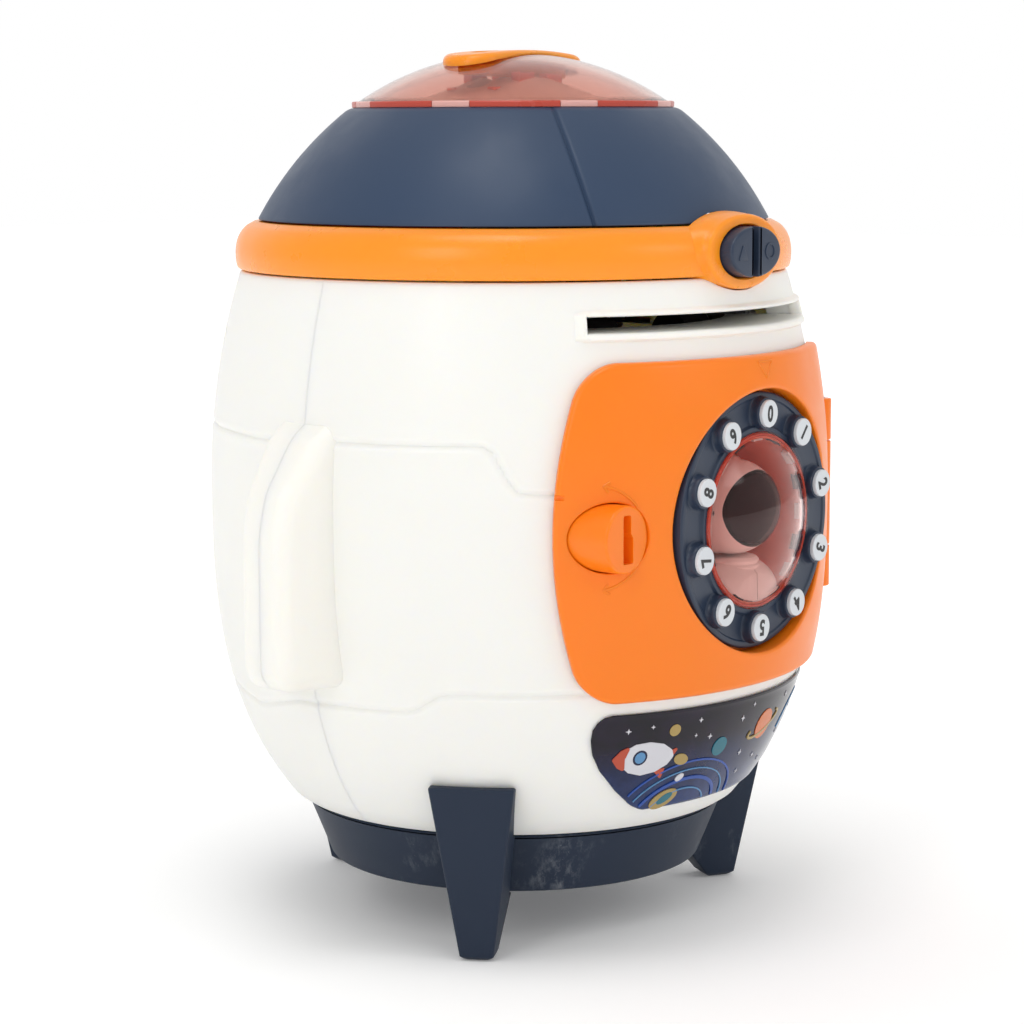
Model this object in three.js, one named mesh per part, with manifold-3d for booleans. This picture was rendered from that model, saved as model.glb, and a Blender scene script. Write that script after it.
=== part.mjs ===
// Toy cash-machine savings bank in the shape of a space capsule on three legs.
// Millimetres, +Z up. The front (door side) faces -Y, the ground is z = 0.
import * as THREE from 'three';
import { mergeVertices } from 'three/addons/utils/BufferGeometryUtils.js';
import Module from 'manifold-3d';

const wasm = await Module();
wasm.setup();

// ---------------------------------------------------------------- driving dimensions
const AXIS_Y = 2.2;            // the capsule's axis, measured from the middle of the bounding box
const GAP = 0.3;               // clearance between pieces that touch
const WALL = 2.2;              // moulded wall
const ROUND = 40;              // facets of the big round pieces

const SHELL_BOTTOM = 31.8;     // body shells
const SHELL_TOP = 175.3;
const BELLY_R = 82.74;
const BELLY_Z = 117.4;
const BELLY_UP = 129.05;       // half height of the upper curve, an ellipse
const BELLY_DOWN = 111.8;      // half height of the lower curve, a fuller super-ellipse
const BELLY_DOWN_POWER = 2.825;

const FIN_CREST = 98.8;        // side fins
const FIN_TOP = 139.5;
const FIN_BOTTOM = 72.3;
const FIN_HALF_AT_BODY = 11;
const FIN_HALF_AT_CREST = 6.5;
const SEAM_Y = 2.3;            // the shells meet, and the fins stand, this far behind the axis

const SCREW_POSTS = [[-50, 58], [50, 58], [-56, 158], [56, 158]];
const POST_R = 3.6;            // posts of the front shell, sockets of the rear shell
const SOCKET_R = 5;
const POST_SEAT = 10;          // the screw heads rest here, past the seam
const SCREW_HEAD_R = 2.9;
const SCREW_SHANK_R = 1.1;

const RING_TOP = 31.4;         // base ring
const RING_TOP_R = 57.7;
const RING_BOTTOM = 13.9;
const RING_BOTTOM_R = 50.7;

const BAY_HALF = [25.5, 29];   // battery box, its cover and the three cells
const BAY_Z = [16.5, 34];
const COVER_HALF = [24, 28.5];
const COVER_SCREW_Y = 31;
const CELL_R = 7.1;
const CELL_Z = 24.2;
const CELL_SPACING = 15.4;

const LEG_TOP = 47.3;
const LEG_TOP_R = 73.4;
const LEG_FOOT_R = 66;
const LEG_HALF_TOP = 11.2;
const LEG_HALF_FOOT = 4.3;

const COLLAR_BOTTOM = 175.7;
const COLLAR_TOP = 188.4;
const BOSS_Z = 181.7;          // oval boss for the two push buttons
const BOSS_HALF = [16.5, 9.6];
const BOSS_FACE = -76.2;
const BUTTON_HOLE_HALF = [11.4, 6.8];
const BUTTON_FACE = -79.6;
const BUTTON_SPLIT = 1.6;      // half the gap between the two buttons
const BOARD_FACE = -60.6;      // front of the board with the two switches

const DOME_BOTTOM = 188.8;     // navy dome, an arc turned round the axis
const DOME_TOP = 218.4;
const DOME_ARC_R = 91.65;
const DOME_ARC_CENTRE = [-11.96, 146.2];

const CLEAR_BOTTOM = 218.7;    // clear red dome
const CLEAR_R = 73.5;
const CLEAR_CENTRE_Z = 159.6;
const SADDLE_HALF = [24.6, 8.5];
const SADDLE_TOP = 233.7;
const SADDLE_TOP_R = 169;
const COIN_SLOT_HALF = [16.2, 2.3];
const CHUTE_HALF = [18.4, 3.9];

const ARC_R = 83;              // arc lengths along the body are measured at this radius
const DOOR_Z = 112.8;
const DOOR_HALF_HEIGHT = 42.8;
const DOOR_HALF_WIDTH = 64.75;
const DOOR_SIDE_R = 111;       // the door's sides bulge in this radius
const DOOR_CORNER = 9;
const DOOR_INNER = 0.4;        // door skin, measured out from the body surface
const DOOR_OUTER = 3;
const OPENING_INSET = 3.2;

const HINGE = [63.42, -58.53];
const KNUCKLE_R = 3;
const DOOR_KNUCKLES = [[126.7, 138.2], [85.6, 97]];
const PIN_R = 1.2;

const DIAL_R = 33.2;
const DIAL_BORE = 22.7;
const DIAL_FACE = -80.1;
const DIAL_BACK = -77;
const DIAL_FLOOR = -76.7;      // floor of the door's recess for the dial
const NUMBER_CIRCLE = 27.65;
const NUMBER_BOSS_R = 4.3;
const NUMBER_DISC_R = 3.8;
const NUMBER_TURN = 3;         // degrees clockwise that the dial stands turned
const NUMBERS = 10;

const CUP_R = 22.3;            // cup that holds the figure behind the window
const CUP_BACK = -50.5;
const WINDOW_R = 21.6;
const WINDOW_APEX = -87.1;
const WINDOW_RIM_R = 23;

const HEAD = [0, -72, 115.8];  // helmeted figure behind the window
const HELMET_R = 12.4;
const VISOR_HALF = [10.2, 8.4];
const VISOR_BACK = -74.6;
const POD_R = 3.6;
const POD_X = [12.7, 15.2];
const NECK_R = 7.4;
const NECK_Z = [100.4, 103];
const CHEST_R = 13;
const CHEST_Z = 94.2;

const LATCH = [-49, 112.8];
const LATCH_R = 8.5;
const LATCH_FACE = -75.1;
const LATCH_SHAFT_R = 4;

const SLOT_Z = [162.1, 166.7]; // banknote slot
const SLOT_HALF_ANGLE = 37.6;
const NOTE_Z = 164.5;
const ROLLER_R = 6;
const ROLLER_Y = -42;
const GEAR_MODULE = 0.7;
const GEAR_TEETH = 28;
const PINION_TEETH = 9;
const PINION_ANGLE = 30;       // degrees that the pinion stands above the feed shaft's level

const PLATE_X = [40, 42];      // side plates of the feed, and the gears outside them
const GEAR_X = [43.2, 46.6];
const ROLLER_X = [-26, 14];    // left ends of the two rubber rollers
const ROLLER_LENGTH = 12;

const BIN = { x: 58, front: -46, back: 36, floor: 70.5, top: 150 };
const SPEAKER_Z = 112;
const SPEAKER_R = 18;

// ---------------------------------------------------------------- colours
const PLASTICS = {
  cream: ['#ece8dc', 0.45, 0],
  orange: ['#f98a1f', 0.38, 0],
  navy: ['#37425a', 0.42, 0],
  clearRed: ['#e2574c', 0.12, 0],
  white: ['#f4f4f2', 0.35, 0],
  black: ['#1b1b1f', 0.2, 0],
  label: ['#161b33', 0.25, 0],
  grey: ['#8d9096', 0.5, 0],
  board: ['#2f6b3f', 0.55, 0],
  steel: ['#b9bcc0', 0.3, 1],
  rubber: ['#2a2a2a', 0.85, 0],
};

// ---------------------------------------------------------------- helpers
const group = new THREE.Group();
group.position.y = AXIS_Y;
const rad = THREE.MathUtils.degToRad;

// A closed geometry becomes a solid whose faces point outwards.
function solid(geometry) {
  const bare = geometry.clone();
  bare.deleteAttribute('normal');
  bare.deleteAttribute('uv');
  const merged = mergeVertices(bare, 1e-4);
  const position = merged.attributes.position;
  const index = merged.index.array;
  const triangles = [];
  let volume = 0;
  const [a, b, c] = [new THREE.Vector3(), new THREE.Vector3(), new THREE.Vector3()];
  for (let i = 0; i < index.length; i += 3) {
    const [p, q, r] = [index[i], index[i + 1], index[i + 2]];
    if (p === q || q === r || r === p) continue;
    triangles.push([p, q, r]);
    a.fromBufferAttribute(position, p);
    b.fromBufferAttribute(position, q);
    c.fromBufferAttribute(position, r);
    volume += a.dot(b.cross(c));
  }
  const facing = volume > 0 ? triangles : triangles.map(([p, q, r]) => [p, r, q]);
  const mesh = new wasm.Mesh({
    numProp: 3,
    vertProperties: new Float32Array(position.array),
    triVerts: new Uint32Array(facing.flat()),
  });
  return new wasm.Manifold(mesh);
}

function addPart(name, body, plastic) {
  const mesh = body.getMesh();
  const geometry = new THREE.BufferGeometry();
  geometry.setAttribute('position', new THREE.BufferAttribute(mesh.vertProperties, 3));
  geometry.setIndex(new THREE.BufferAttribute(mesh.triVerts, 1));
  geometry.computeVertexNormals();
  const [color, roughness, metalness] = PLASTICS[plastic];
  const material = new THREE.MeshStandardMaterial({ color, roughness, metalness });
  const part = new THREE.Mesh(geometry, material);
  part.name = name;
  group.add(part);
}

function join(...bodies) {
  return bodies.reduce((whole, body) => whole.add(body));
}

function cut(body, ...tools) {
  return tools.reduce((rest, tool) => rest.subtract(tool), body);
}

// A box between two x, two y and two z values.
function block(x0, x1, y0, y1, z0, z1) {
  const geometry = new THREE.BoxGeometry(x1 - x0, y1 - y0, z1 - z0);
  geometry.translate((x0 + x1) / 2, (y0 + y1) / 2, (z0 + z1) / 2);
  return solid(geometry);
}

// A closed (radius, z) outline turned round the Z axis.
function turned(points, facets = ROUND) {
  const outline = points.map(([r, z]) => new THREE.Vector2(r, z));
  if (points[0][0] > 0) outline.push(outline[0].clone());
  const geometry = new THREE.LatheGeometry(outline, facets);
  geometry.rotateX(Math.PI / 2);
  return solid(geometry);
}

// Round bars along each axis, given by their centre line and their two ends.
function barX(r, y, z, x0, x1, facets = 20) {
  const geometry = new THREE.CylinderGeometry(r, r, x1 - x0, facets);
  geometry.rotateZ(Math.PI / 2);
  geometry.translate((x0 + x1) / 2, y, z);
  return solid(geometry);
}

function barY(r, x, z, y0, y1, facets = 32) {
  const geometry = new THREE.CylinderGeometry(r, r, y1 - y0, facets);
  geometry.translate(x, (y0 + y1) / 2, z);
  return solid(geometry);
}

function barZ(r, x, y, z0, z1, facets = 20) {
  const geometry = new THREE.CylinderGeometry(r, r, z1 - z0, facets);
  geometry.rotateX(Math.PI / 2);
  geometry.translate(x, y, (z0 + z1) / 2);
  return solid(geometry);
}

// Flat outlines pulled straight along one axis.
function pulled(points, length) {
  const shape = new THREE.Shape(points.map(([u, v]) => new THREE.Vector2(u, v)));
  return new THREE.ExtrudeGeometry(shape, { depth: length, bevelEnabled: false });
}

function pulledX(yz, x0, x1) {
  const geometry = pulled(yz, x1 - x0);
  geometry.applyMatrix4(new THREE.Matrix4().set(0, 0, 1, x0, 1, 0, 0, 0, 0, 1, 0, 0, 0, 0, 0, 1));
  return solid(geometry);
}

function pulledY(xz, y0, y1) {
  const geometry = pulled(xz, y1 - y0);
  geometry.applyMatrix4(new THREE.Matrix4().set(1, 0, 0, 0, 0, 0, 1, y0, 0, 1, 0, 0, 0, 0, 0, 1));
  return solid(geometry);
}

function pulledZ(xy, z0, z1) {
  const geometry = pulled(xy, z1 - z0);
  geometry.translate(0, 0, z0);
  return solid(geometry);
}

function ellipse([a, b], [u, v], steps = 36) {
  return Array.from({ length: steps }, (_, i) => {
    const t = (2 * Math.PI * i) / steps;
    return [u + a * Math.cos(t), v + b * Math.sin(t)];
  });
}

function range(from, to, steps) {
  return Array.from({ length: steps + 1 }, (_, i) => from + ((to - from) * i) / steps);
}

// ---------------------------------------------------------------- the body's surface
function bodyRadius(z) {
  const upper = z > BELLY_Z;
  const share = Math.abs(z - BELLY_Z) / (upper ? BELLY_UP : BELLY_DOWN);
  return BELLY_R * Math.sqrt(1 - share ** (upper ? 2 : BELLY_DOWN_POWER));
}

// A pad that lies on the body: rows of constant z, each from left(z) to right(z) in arc length,
// from inner to outer millimetres off the body surface.
function pad(rows, left, right, inner, outer, columns = 16) {
  const positions = [];
  for (const offset of [inner, outer]) {
    for (const z of rows) {
      for (const share of range(0, 1, columns)) {
        const angle = (left(z) + (right(z) - left(z)) * share) / ARC_R;
        const r = bodyRadius(z) + offset;
        positions.push(r * Math.sin(angle), -r * Math.cos(angle), z);
      }
    }
  }
  const width = columns + 1;
  const layer = rows.length * width;
  const index = [];
  const quad = (a, b, c, d) => index.push(a, b, c, a, c, d);
  for (let row = 0; row < rows.length - 1; row += 1) {
    for (let column = 0; column < columns; column += 1) {
      const a = row * width + column;
      quad(layer + a, layer + a + 1, layer + a + width + 1, layer + a + width);
      quad(a, a + width, a + width + 1, a + 1);
    }
    const first = row * width;
    const last = first + columns;
    quad(first, layer + first, layer + first + width, first + width);
    quad(last, last + width, layer + last + width, layer + last);
  }
  const top = (rows.length - 1) * width;
  for (let column = 0; column < columns; column += 1) {
    quad(column, column + 1, layer + column + 1, layer + column);
    quad(top + column, layer + top + column, layer + top + column + 1, top + column + 1);
  }
  const geometry = new THREE.BufferGeometry();
  geometry.setAttribute('position', new THREE.Float32BufferAttribute(positions, 3));
  geometry.setIndex(index);
  return solid(geometry);
}

// A pad whose outline is the door's, made smaller by inset.
function doorPad(inset, inner, outer) {
  const halfHeight = DOOR_HALF_HEIGHT - inset;
  const straight = halfHeight - DOOR_CORNER;
  const corner = range(0, 90, 3).map((a) => straight + DOOR_CORNER * Math.sin(rad(a)));
  const upper = [...range(0, straight, 2).slice(1, -1), ...corner];
  const rows = [...upper.map((d) => -d).reverse(), 0, ...upper].map((d) => DOOR_Z + d);
  const half = (z) => {
    const d = Math.abs(z - DOOR_Z);
    const side = DOOR_HALF_WIDTH - DOOR_SIDE_R + Math.sqrt(DOOR_SIDE_R ** 2 - d ** 2) - inset;
    const turn = Math.min(Math.max(d - straight, 0), DOOR_CORNER);
    return side - DOOR_CORNER + Math.sqrt(DOOR_CORNER ** 2 - turn ** 2);
  };
  return pad(rows, (z) => -half(z), half, inner, outer, 10);
}

// ---------------------------------------------------------------- front and rear shells
function bodySolid(inset, from, to, steps = 7) {
  const wall = range(from, to, steps).map((z) => [bodyRadius(z) - inset, z]);
  return turned([[0, from], ...wall, [0, to]]);
}

function finSolid(side, inset) {
  const crest = FIN_CREST - inset;
  const top = FIN_TOP - inset;
  const bottom = FIN_BOTTOM + inset;
  const outline = [
    [60, top], [82, top], [88.5 - inset, top - 5.8], [93.5 - inset, top - 12.5],
    [97.2 - inset, top - 18.5], [crest, top - 24], [crest, bottom + 8],
    [crest - 1.8, bottom + 3], [crest - 6, bottom], [60, bottom],
  ];
  const plan = [
    [60, -FIN_HALF_AT_BODY + inset], [80, -FIN_HALF_AT_BODY + inset],
    [crest, -FIN_HALF_AT_CREST + inset], [crest, FIN_HALF_AT_CREST - inset],
    [80, FIN_HALF_AT_BODY - inset], [60, FIN_HALF_AT_BODY - inset],
  ];
  const mirrored = (points) => points.map(([x, v]) => [side * x, v]);
  const blank = pulledY(mirrored(outline), -12, 12).intersect(pulledZ(mirrored(plan), bottom, top));
  return blank.translate([0, SEAM_Y, 0]);
}

const inside = bodySolid(WALL, SHELL_BOTTOM + 2.4, SHELL_TOP);
const mouth = turned([[0, SHELL_BOTTOM - 1], [54, SHELL_BOTTOM - 1], [54, 40], [0, 40]]);
const topMouth = turned([
  [0, SHELL_TOP - 2], [71.6, SHELL_TOP - 2], [71.6, SHELL_TOP + 1], [0, SHELL_TOP + 1],
]);
const bothShells = cut(
  join(bodySolid(0, SHELL_BOTTOM, SHELL_TOP, 11), finSolid(1, 0), finSolid(-1, 0)),
  inside, mouth, topMouth, finSolid(1, WALL), finSolid(-1, WALL),
);
const bossRecess = (grow) => pulledY(
  ellipse([BOSS_HALF[0] + grow, BOSS_HALF[1] + grow], [0, BOSS_Z]), -90, -60,
);

function frontShell() {
  const half = bothShells.intersect(block(-120, 120, -120, SEAM_Y - GAP / 2, 0, 240));
  const rimHalf = () => rad(SLOT_HALF_ANGLE + 1.6) * ARC_R;
  const rim = pad([160.9, 168.1], (z) => -rimHalf(z), rimHalf, -1, 1.2, 12);
  const slotHalf = () => rad(SLOT_HALF_ANGLE) * ARC_R;
  const slot = pad(SLOT_Z, (z) => -slotHalf(z), slotHalf, -8, 8, 12);
  const posts = SCREW_POSTS.map(([x, z]) => barY(POST_R, x, z, -80, POST_SEAT - 2.6, 8));
  const kept = join(...posts).intersect(bodySolid(1, SHELL_BOTTOM, SHELL_TOP));
  const holes = SCREW_POSTS.map(([x, z]) => barY(SCREW_SHANK_R + 0.4, x, z, -10, 20, 8));
  const clearOfSlot = cut(join(half, rim, kept), slot, doorPad(OPENING_INSET, -12, 8));
  const latchNotch = barY(LATCH_R + 2.2, ...LATCH, -90, -59.9, 16);
  return cut(clearOfSlot, bossRecess(0.35), latchNotch, ...holes);
}

function rearShell() {
  const half = bothShells.intersect(block(-120, 120, SEAM_Y + GAP / 2, 120, 0, 240));
  const wells = SCREW_POSTS.map(([x, z]) => barY(SOCKET_R, x, z, POST_SEAT - 2, 90, 10));
  const kept = join(...wells).intersect(bodySolid(0.8, SHELL_BOTTOM, SHELL_TOP));
  const bores = SCREW_POSTS.map(([x, z]) => barY(SCREW_HEAD_R + 0.5, x, z, POST_SEAT, 100, 10));
  const holes = SCREW_POSTS.map(([x, z]) => barY(SCREW_SHANK_R + 0.5, x, z, 0, 20, 8));
  const grille = range(-12, 12, 4).map((d) => {
    const halfWidth = Math.sqrt((SPEAKER_R - 2) ** 2 - d ** 2);
    return block(-halfWidth, halfWidth, 60, 100, SPEAKER_Z + d - 1, SPEAKER_Z + d + 1);
  });
  return cut(join(half, kept), ...bores, ...holes, ...grille);
}

addPart('front_shell', frontShell(), 'cream');
addPart('rear_shell', rearShell(), 'cream');
SCREW_POSTS.forEach(([x, z], i) => {
  const head = barY(SCREW_HEAD_R, x, z, POST_SEAT + GAP, POST_SEAT + 2.3, 12);
  const shank = barY(SCREW_SHANK_R, x, z, -6, POST_SEAT + 1, 8);
  addPart(`shell_screw_${i + 1}`, join(head, shank), 'steel');
});

// ---------------------------------------------------------------- base ring, legs, battery bay
const baseOutline = [
  [0, RING_BOTTOM], [RING_BOTTOM_R, RING_BOTTOM], [RING_TOP_R, RING_TOP],
  [RING_TOP_R - WALL, RING_TOP], [RING_BOTTOM_R - WALL, RING_BOTTOM + WALL], [0, RING_BOTTOM + WALL],
];
const coverTongue = barZ(4.4, 0, COVER_SCREW_Y, RING_BOTTOM - 1, 20, 16);
const bayMouth = join(
  block(-COVER_HALF[0], COVER_HALF[0], -COVER_HALF[1], COVER_HALF[1], 10, 20), coverTongue,
);
addPart('base_ring', cut(turned(baseOutline), bayMouth), 'navy');

function leg(angle) {
  const side = [
    [LEG_TOP_R, LEG_TOP], [LEG_FOOT_R, 1.2], [LEG_FOOT_R - 1.4, 0], [58.5, 0],
    [57, 1.2], [46, 15], [46, LEG_TOP],
  ];
  const front = [
    [-LEG_HALF_TOP, LEG_TOP], [-LEG_HALF_FOOT, 1.2], [-LEG_HALF_FOOT + 1.2, 0],
    [LEG_HALF_FOOT - 1.2, 0], [LEG_HALF_FOOT, 1.2], [LEG_HALF_TOP, LEG_TOP],
  ];
  // built pointing to -Y, then turned round the axis
  const slab = pulledX(side.map(([r, z]) => [-r, z]), -12, 12);
  const blank = slab.intersect(pulledY(front, -80, -40)).rotate([0, 0, angle]);
  const lowerWall = range(SHELL_BOTTOM, 50, 5).map((z) => [bodyRadius(z) + GAP, z]);
  const body = turned([
    [0, SHELL_BOTTOM - GAP], [bodyRadius(SHELL_BOTTOM) + GAP, SHELL_BOTTOM - GAP], ...lowerWall, [0, 50],
  ]);
  const base = turned([
    [0, RING_BOTTOM - GAP], [RING_BOTTOM_R + GAP, RING_BOTTOM - GAP],
    [RING_TOP_R + GAP, RING_TOP], [RING_TOP_R + GAP, SHELL_BOTTOM + 1], [0, SHELL_BOTTOM + 1],
  ]);
  return cut(blank, body, base);
}

addPart('leg_left', leg(-60), 'navy');
addPart('leg_right', leg(60), 'navy');
addPart('leg_rear', leg(180), 'navy');

const [bayX, bayY] = BAY_HALF;
const bayOuter = block(-bayX, bayX, -bayY, bayY, ...BAY_Z);
const bayInner = block(-bayX + 2, bayX - 2, -bayY + 2, bayY - 2, 10, BAY_Z[1] - 2);
const bayPost = barZ(3.6, 0, COVER_SCREW_Y, 17, 30, 16);
const bayThread = barZ(1.3, 0, COVER_SCREW_Y, 10, 27, 8);
const bayWire = barX(1.5, 24, 27, 20, 30, 10);
addPart('battery_box', cut(join(bayOuter, bayPost), bayInner, bayThread, bayWire), 'grey');
const coverZ = [RING_BOTTOM + 0.1, RING_BOTTOM + 2];
const coverX = COVER_HALF[0] - GAP;
const coverY = COVER_HALF[1] - GAP;
const coverPlate = join(
  block(-coverX, coverX, -coverY, coverY, ...coverZ), barZ(4.1, 0, COVER_SCREW_Y, ...coverZ, 16),
);
const coverPocket = barZ(2.7, 0, COVER_SCREW_Y, 10, RING_BOTTOM + 1.1, 12);
const coverHole = barZ(1.5, 0, COVER_SCREW_Y, 10, 20, 8);
addPart('battery_cover', cut(coverPlate, coverPocket, coverHole), 'navy');
const coverScrew = join(
  barZ(2.4, 0, COVER_SCREW_Y, RING_BOTTOM + 0.2, RING_BOTTOM + 0.9, 12),
  barZ(1, 0, COVER_SCREW_Y, RING_BOTTOM + 0.5, 25, 8),
);
addPart('cover_screw', coverScrew, 'steel');
// Neighbouring cells point opposite ways.
[-CELL_SPACING, 0, CELL_SPACING].forEach((x, i) => {
  const tip = i % 2 ? [-26.2, -24.9] : [24.9, 26.2];
  const cell = join(barY(CELL_R, x, CELL_Z, -25, 25, 18), barY(2.7, x, CELL_Z, ...tip, 12));
  addPart(`battery_${i + 1}`, cell, 'steel');
});

// ---------------------------------------------------------------- collar, buttons
const collarOutline = [
  [71.4, COLLAR_BOTTOM], [74.6, COLLAR_BOTTOM], [75.1, 178], [75.2, 181], [74.5, 184],
  [72.6, 186.8], [69.9, COLLAR_TOP], [67.2, COLLAR_TOP], [69.8, 182],
];
const bossBlank = pulledY(ellipse(BOSS_HALF, [0, BOSS_Z]), BOSS_FACE, -69.5);
const buttonHole = pulledY(ellipse(BUTTON_HOLE_HALF, [0, BOSS_Z]), -90, -60);
addPart('collar_ring', cut(join(turned(collarOutline), bossBlank), buttonHole), 'orange');

function button(side) {
  const [a, b] = BUTTON_HOLE_HALF;
  const keep = side < 0 ? [-30, -BUTTON_SPLIT] : [BUTTON_SPLIT, 30];
  const cap = pulledY(ellipse([a - GAP, b - GAP], [0, BOSS_Z], 28), BUTTON_FACE, -65.6);
  const flange = pulledY(ellipse([a + 1.6, b + 1.2], [0, BOSS_Z], 28), -66, -64.8);
  return join(cap, flange).intersect(block(...keep, -90, -60, 160, 200));
}

addPart('left_button', button(-1), 'navy');
addPart('right_button', button(1), 'navy');
const switchBody = (x) => block(x - 2.5, x + 2.5, BOARD_FACE - 2, BOARD_FACE + 0.1, 179.5, 184);
const switchBoard = join(
  block(-15, 15, BOARD_FACE, BOARD_FACE + 1.6, 173, 190), switchBody(-7), switchBody(7),
);
addPart('button_board', switchBoard, 'board');

// ---------------------------------------------------------------- domes, coin slot, deck with its chute
function domeRadius(z) {
  return DOME_ARC_CENTRE[0] + Math.sqrt(DOME_ARC_R ** 2 - (z - DOME_ARC_CENTRE[1]) ** 2);
}

const domeOuter = range(DOME_BOTTOM, DOME_TOP, 4).map((z) => [domeRadius(z), z]);
const domeInner = range(DOME_TOP - 2.4, DOME_BOTTOM, 3).map((z) => [domeRadius(z) - 2.8, z]);
const domeOutline = [...domeOuter, [38.3, DOME_TOP], [38.3, DOME_TOP - 2.4], ...domeInner];
addPart('dome_shell', cut(turned(domeOutline), bossRecess(0.35)), 'navy');

// Points up the clear dome's arc, from the angle low to the top.
const clearArc = (radius, low) => range(low, Math.PI / 2, 4).map((a) => [
  a < Math.PI / 2 ? radius * Math.cos(a) : 0, CLEAR_CENTRE_Z + radius * Math.sin(a),
]);
const CLEAR_FOOT = 1.4;        // height of the clear dome's foot, and the radius inside it
const CLEAR_FOOT_R = 39.8;
const clearBase = CLEAR_BOTTOM - CLEAR_CENTRE_Z;
const clearAngle = Math.asin(clearBase / CLEAR_R);
const innerAngle = Math.asin((clearBase + CLEAR_FOOT) / (CLEAR_R - 2));
const clearOutline = [
  ...clearArc(CLEAR_R, clearAngle).reverse(), [CLEAR_FOOT_R, CLEAR_BOTTOM],
  [CLEAR_FOOT_R, CLEAR_BOTTOM + CLEAR_FOOT], ...clearArc(CLEAR_R - 2, innerAngle),
];
const stemHole = block(-19.6, 19.6, -5.1, 5.1, 200, 240);
addPart('clear_dome', cut(turned(clearOutline), stemHole), 'clearRed');

function capsule([a, b], steps = 8) {
  const quarter = range(-90, 90, steps).map((t) => [a - b + b * Math.cos(rad(t)), b * Math.sin(rad(t))]);
  return [...quarter, ...quarter.map(([x, y]) => [-x, -y])];
}

const [slotX, slotY] = COIN_SLOT_HALF;
const coinSlot = block(-slotX, slotX, -slotY, slotY, 100, 240);
const saddleArc = range(-30, 30, 12).map((x) => [
  x, SADDLE_TOP - SADDLE_TOP_R + Math.sqrt(SADDLE_TOP_R ** 2 - x ** 2),
]);
const saddleBlank = pulledZ(capsule(SADDLE_HALF), 215, 240)
  .intersect(pulledY([...saddleArc, [30, 215], [-30, 215]].reverse(), -12, 12));
const underDome = turned([[0, 190], [46, 190], ...clearArc(CLEAR_R + GAP, clearAngle)]);
const saddleStem = block(-18.8, 18.8, -4.4, 4.4, 226.8, 231.8);
addPart('coin_saddle', cut(join(cut(saddleBlank, underDome), saddleStem), coinSlot), 'orange');

const deckOutline = [
  [0, 225], [9.5, 226.3], [26, 220.2], [37.6, 219.4], [37.6, 215.9], [35.6, 215.9],
  [35.6, 217.6], [25, 218], [9, 224], [0, 224],
];
const [chuteX, chuteY] = CHUTE_HALF;
const chuteRoom = block(-chuteX + 1, chuteX - 1, -chuteY + 1, chuteY - 1, 100, 240);
const chute = block(-chuteX, chuteX, -chuteY, chuteY, 152, 221.6);
const deck = cut(turned(deckOutline.reverse(), 32), chuteRoom);
addPart('coin_deck', cut(join(deck, chute), coinSlot), 'white');

// ---------------------------------------------------------------- label below the door
// (height, half width in degrees round the body)
const labelRows = [
  [38, 21], [40, 25], [45, 29.8], [51, 34], [56, 36.1], [60, 36.7], [64, 36.2], [66.6, 34],
];
function labelHalf(z) {
  const i = Math.max(1, labelRows.findIndex(([top]) => z <= top + 1e-6));
  const [[z0, a0], [z1, a1]] = [labelRows[i - 1], labelRows[i]];
  return rad(a0 + ((a1 - a0) * (z - z0)) / (z1 - z0)) * ARC_R;
}
const labelPlate = pad(labelRows.map(([z]) => z), (z) => -labelHalf(z), labelHalf, 0.3, 0.8, 10);
addPart('label_plate', labelPlate, 'label');

// ---------------------------------------------------------------- door, hinge
function doorPanel() {
  const skin = doorPad(0, DOOR_INNER, DOOR_OUTER);
  const reach = doorPad(0.3, -22, DOOR_OUTER - 0.01);
  const dialWell = barY(DIAL_R + 3, 0, DOOR_Z, -90, -74.2, 40).intersect(reach);
  const latchWell = barY(LATCH_R + 1.8, ...LATCH, -90, -60.3, 28).intersect(reach);
  const knuckles = DOOR_KNUCKLES.map(([z0, z1]) => {
    const web = pad([z0, z1], () => rad(42) * ARC_R, () => rad(46.6) * ARC_R, 0.6, DOOR_OUTER, 3);
    return join(web, barZ(KNUCKLE_R, ...HINGE, z0, z1, 18));
  });
  const tools = [
    barY(DIAL_R + 0.9, 0, DOOR_Z, -95, DIAL_FLOOR, 40),
    barY(CUP_R + GAP, 0, DOOR_Z, -95, -60, 32),
    barY(LATCH_R + 0.4, ...LATCH, -95, -62.1, 28),
    barY(LATCH_SHAFT_R + GAP, ...LATCH, -95, -50, 16),
    barZ(PIN_R + 0.1, ...HINGE, 80, 145, 12),
  ];
  return cut(join(skin, dialWell, latchWell, ...knuckles), ...tools);
}

addPart('door_panel', doorPanel(), 'orange');
addPart('hinge_pin', barZ(PIN_R, ...HINGE, 85.2, 138.6, 12), 'steel');
const blockZ = [DOOR_KNUCKLES[1][1] + GAP, DOOR_KNUCKLES[0][0] - GAP];
const hingeFoot = pad(blockZ, () => rad(46.9) * ARC_R, () => rad(52) * ARC_R, 0.3, 2.6, 3);
const hingeBlock = join(hingeFoot, barZ(KNUCKLE_R, ...HINGE, ...blockZ, 18));
addPart('hinge_block', cut(hingeBlock, barZ(PIN_R + 0.1, ...HINGE, 80, 145, 12)), 'orange');

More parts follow.
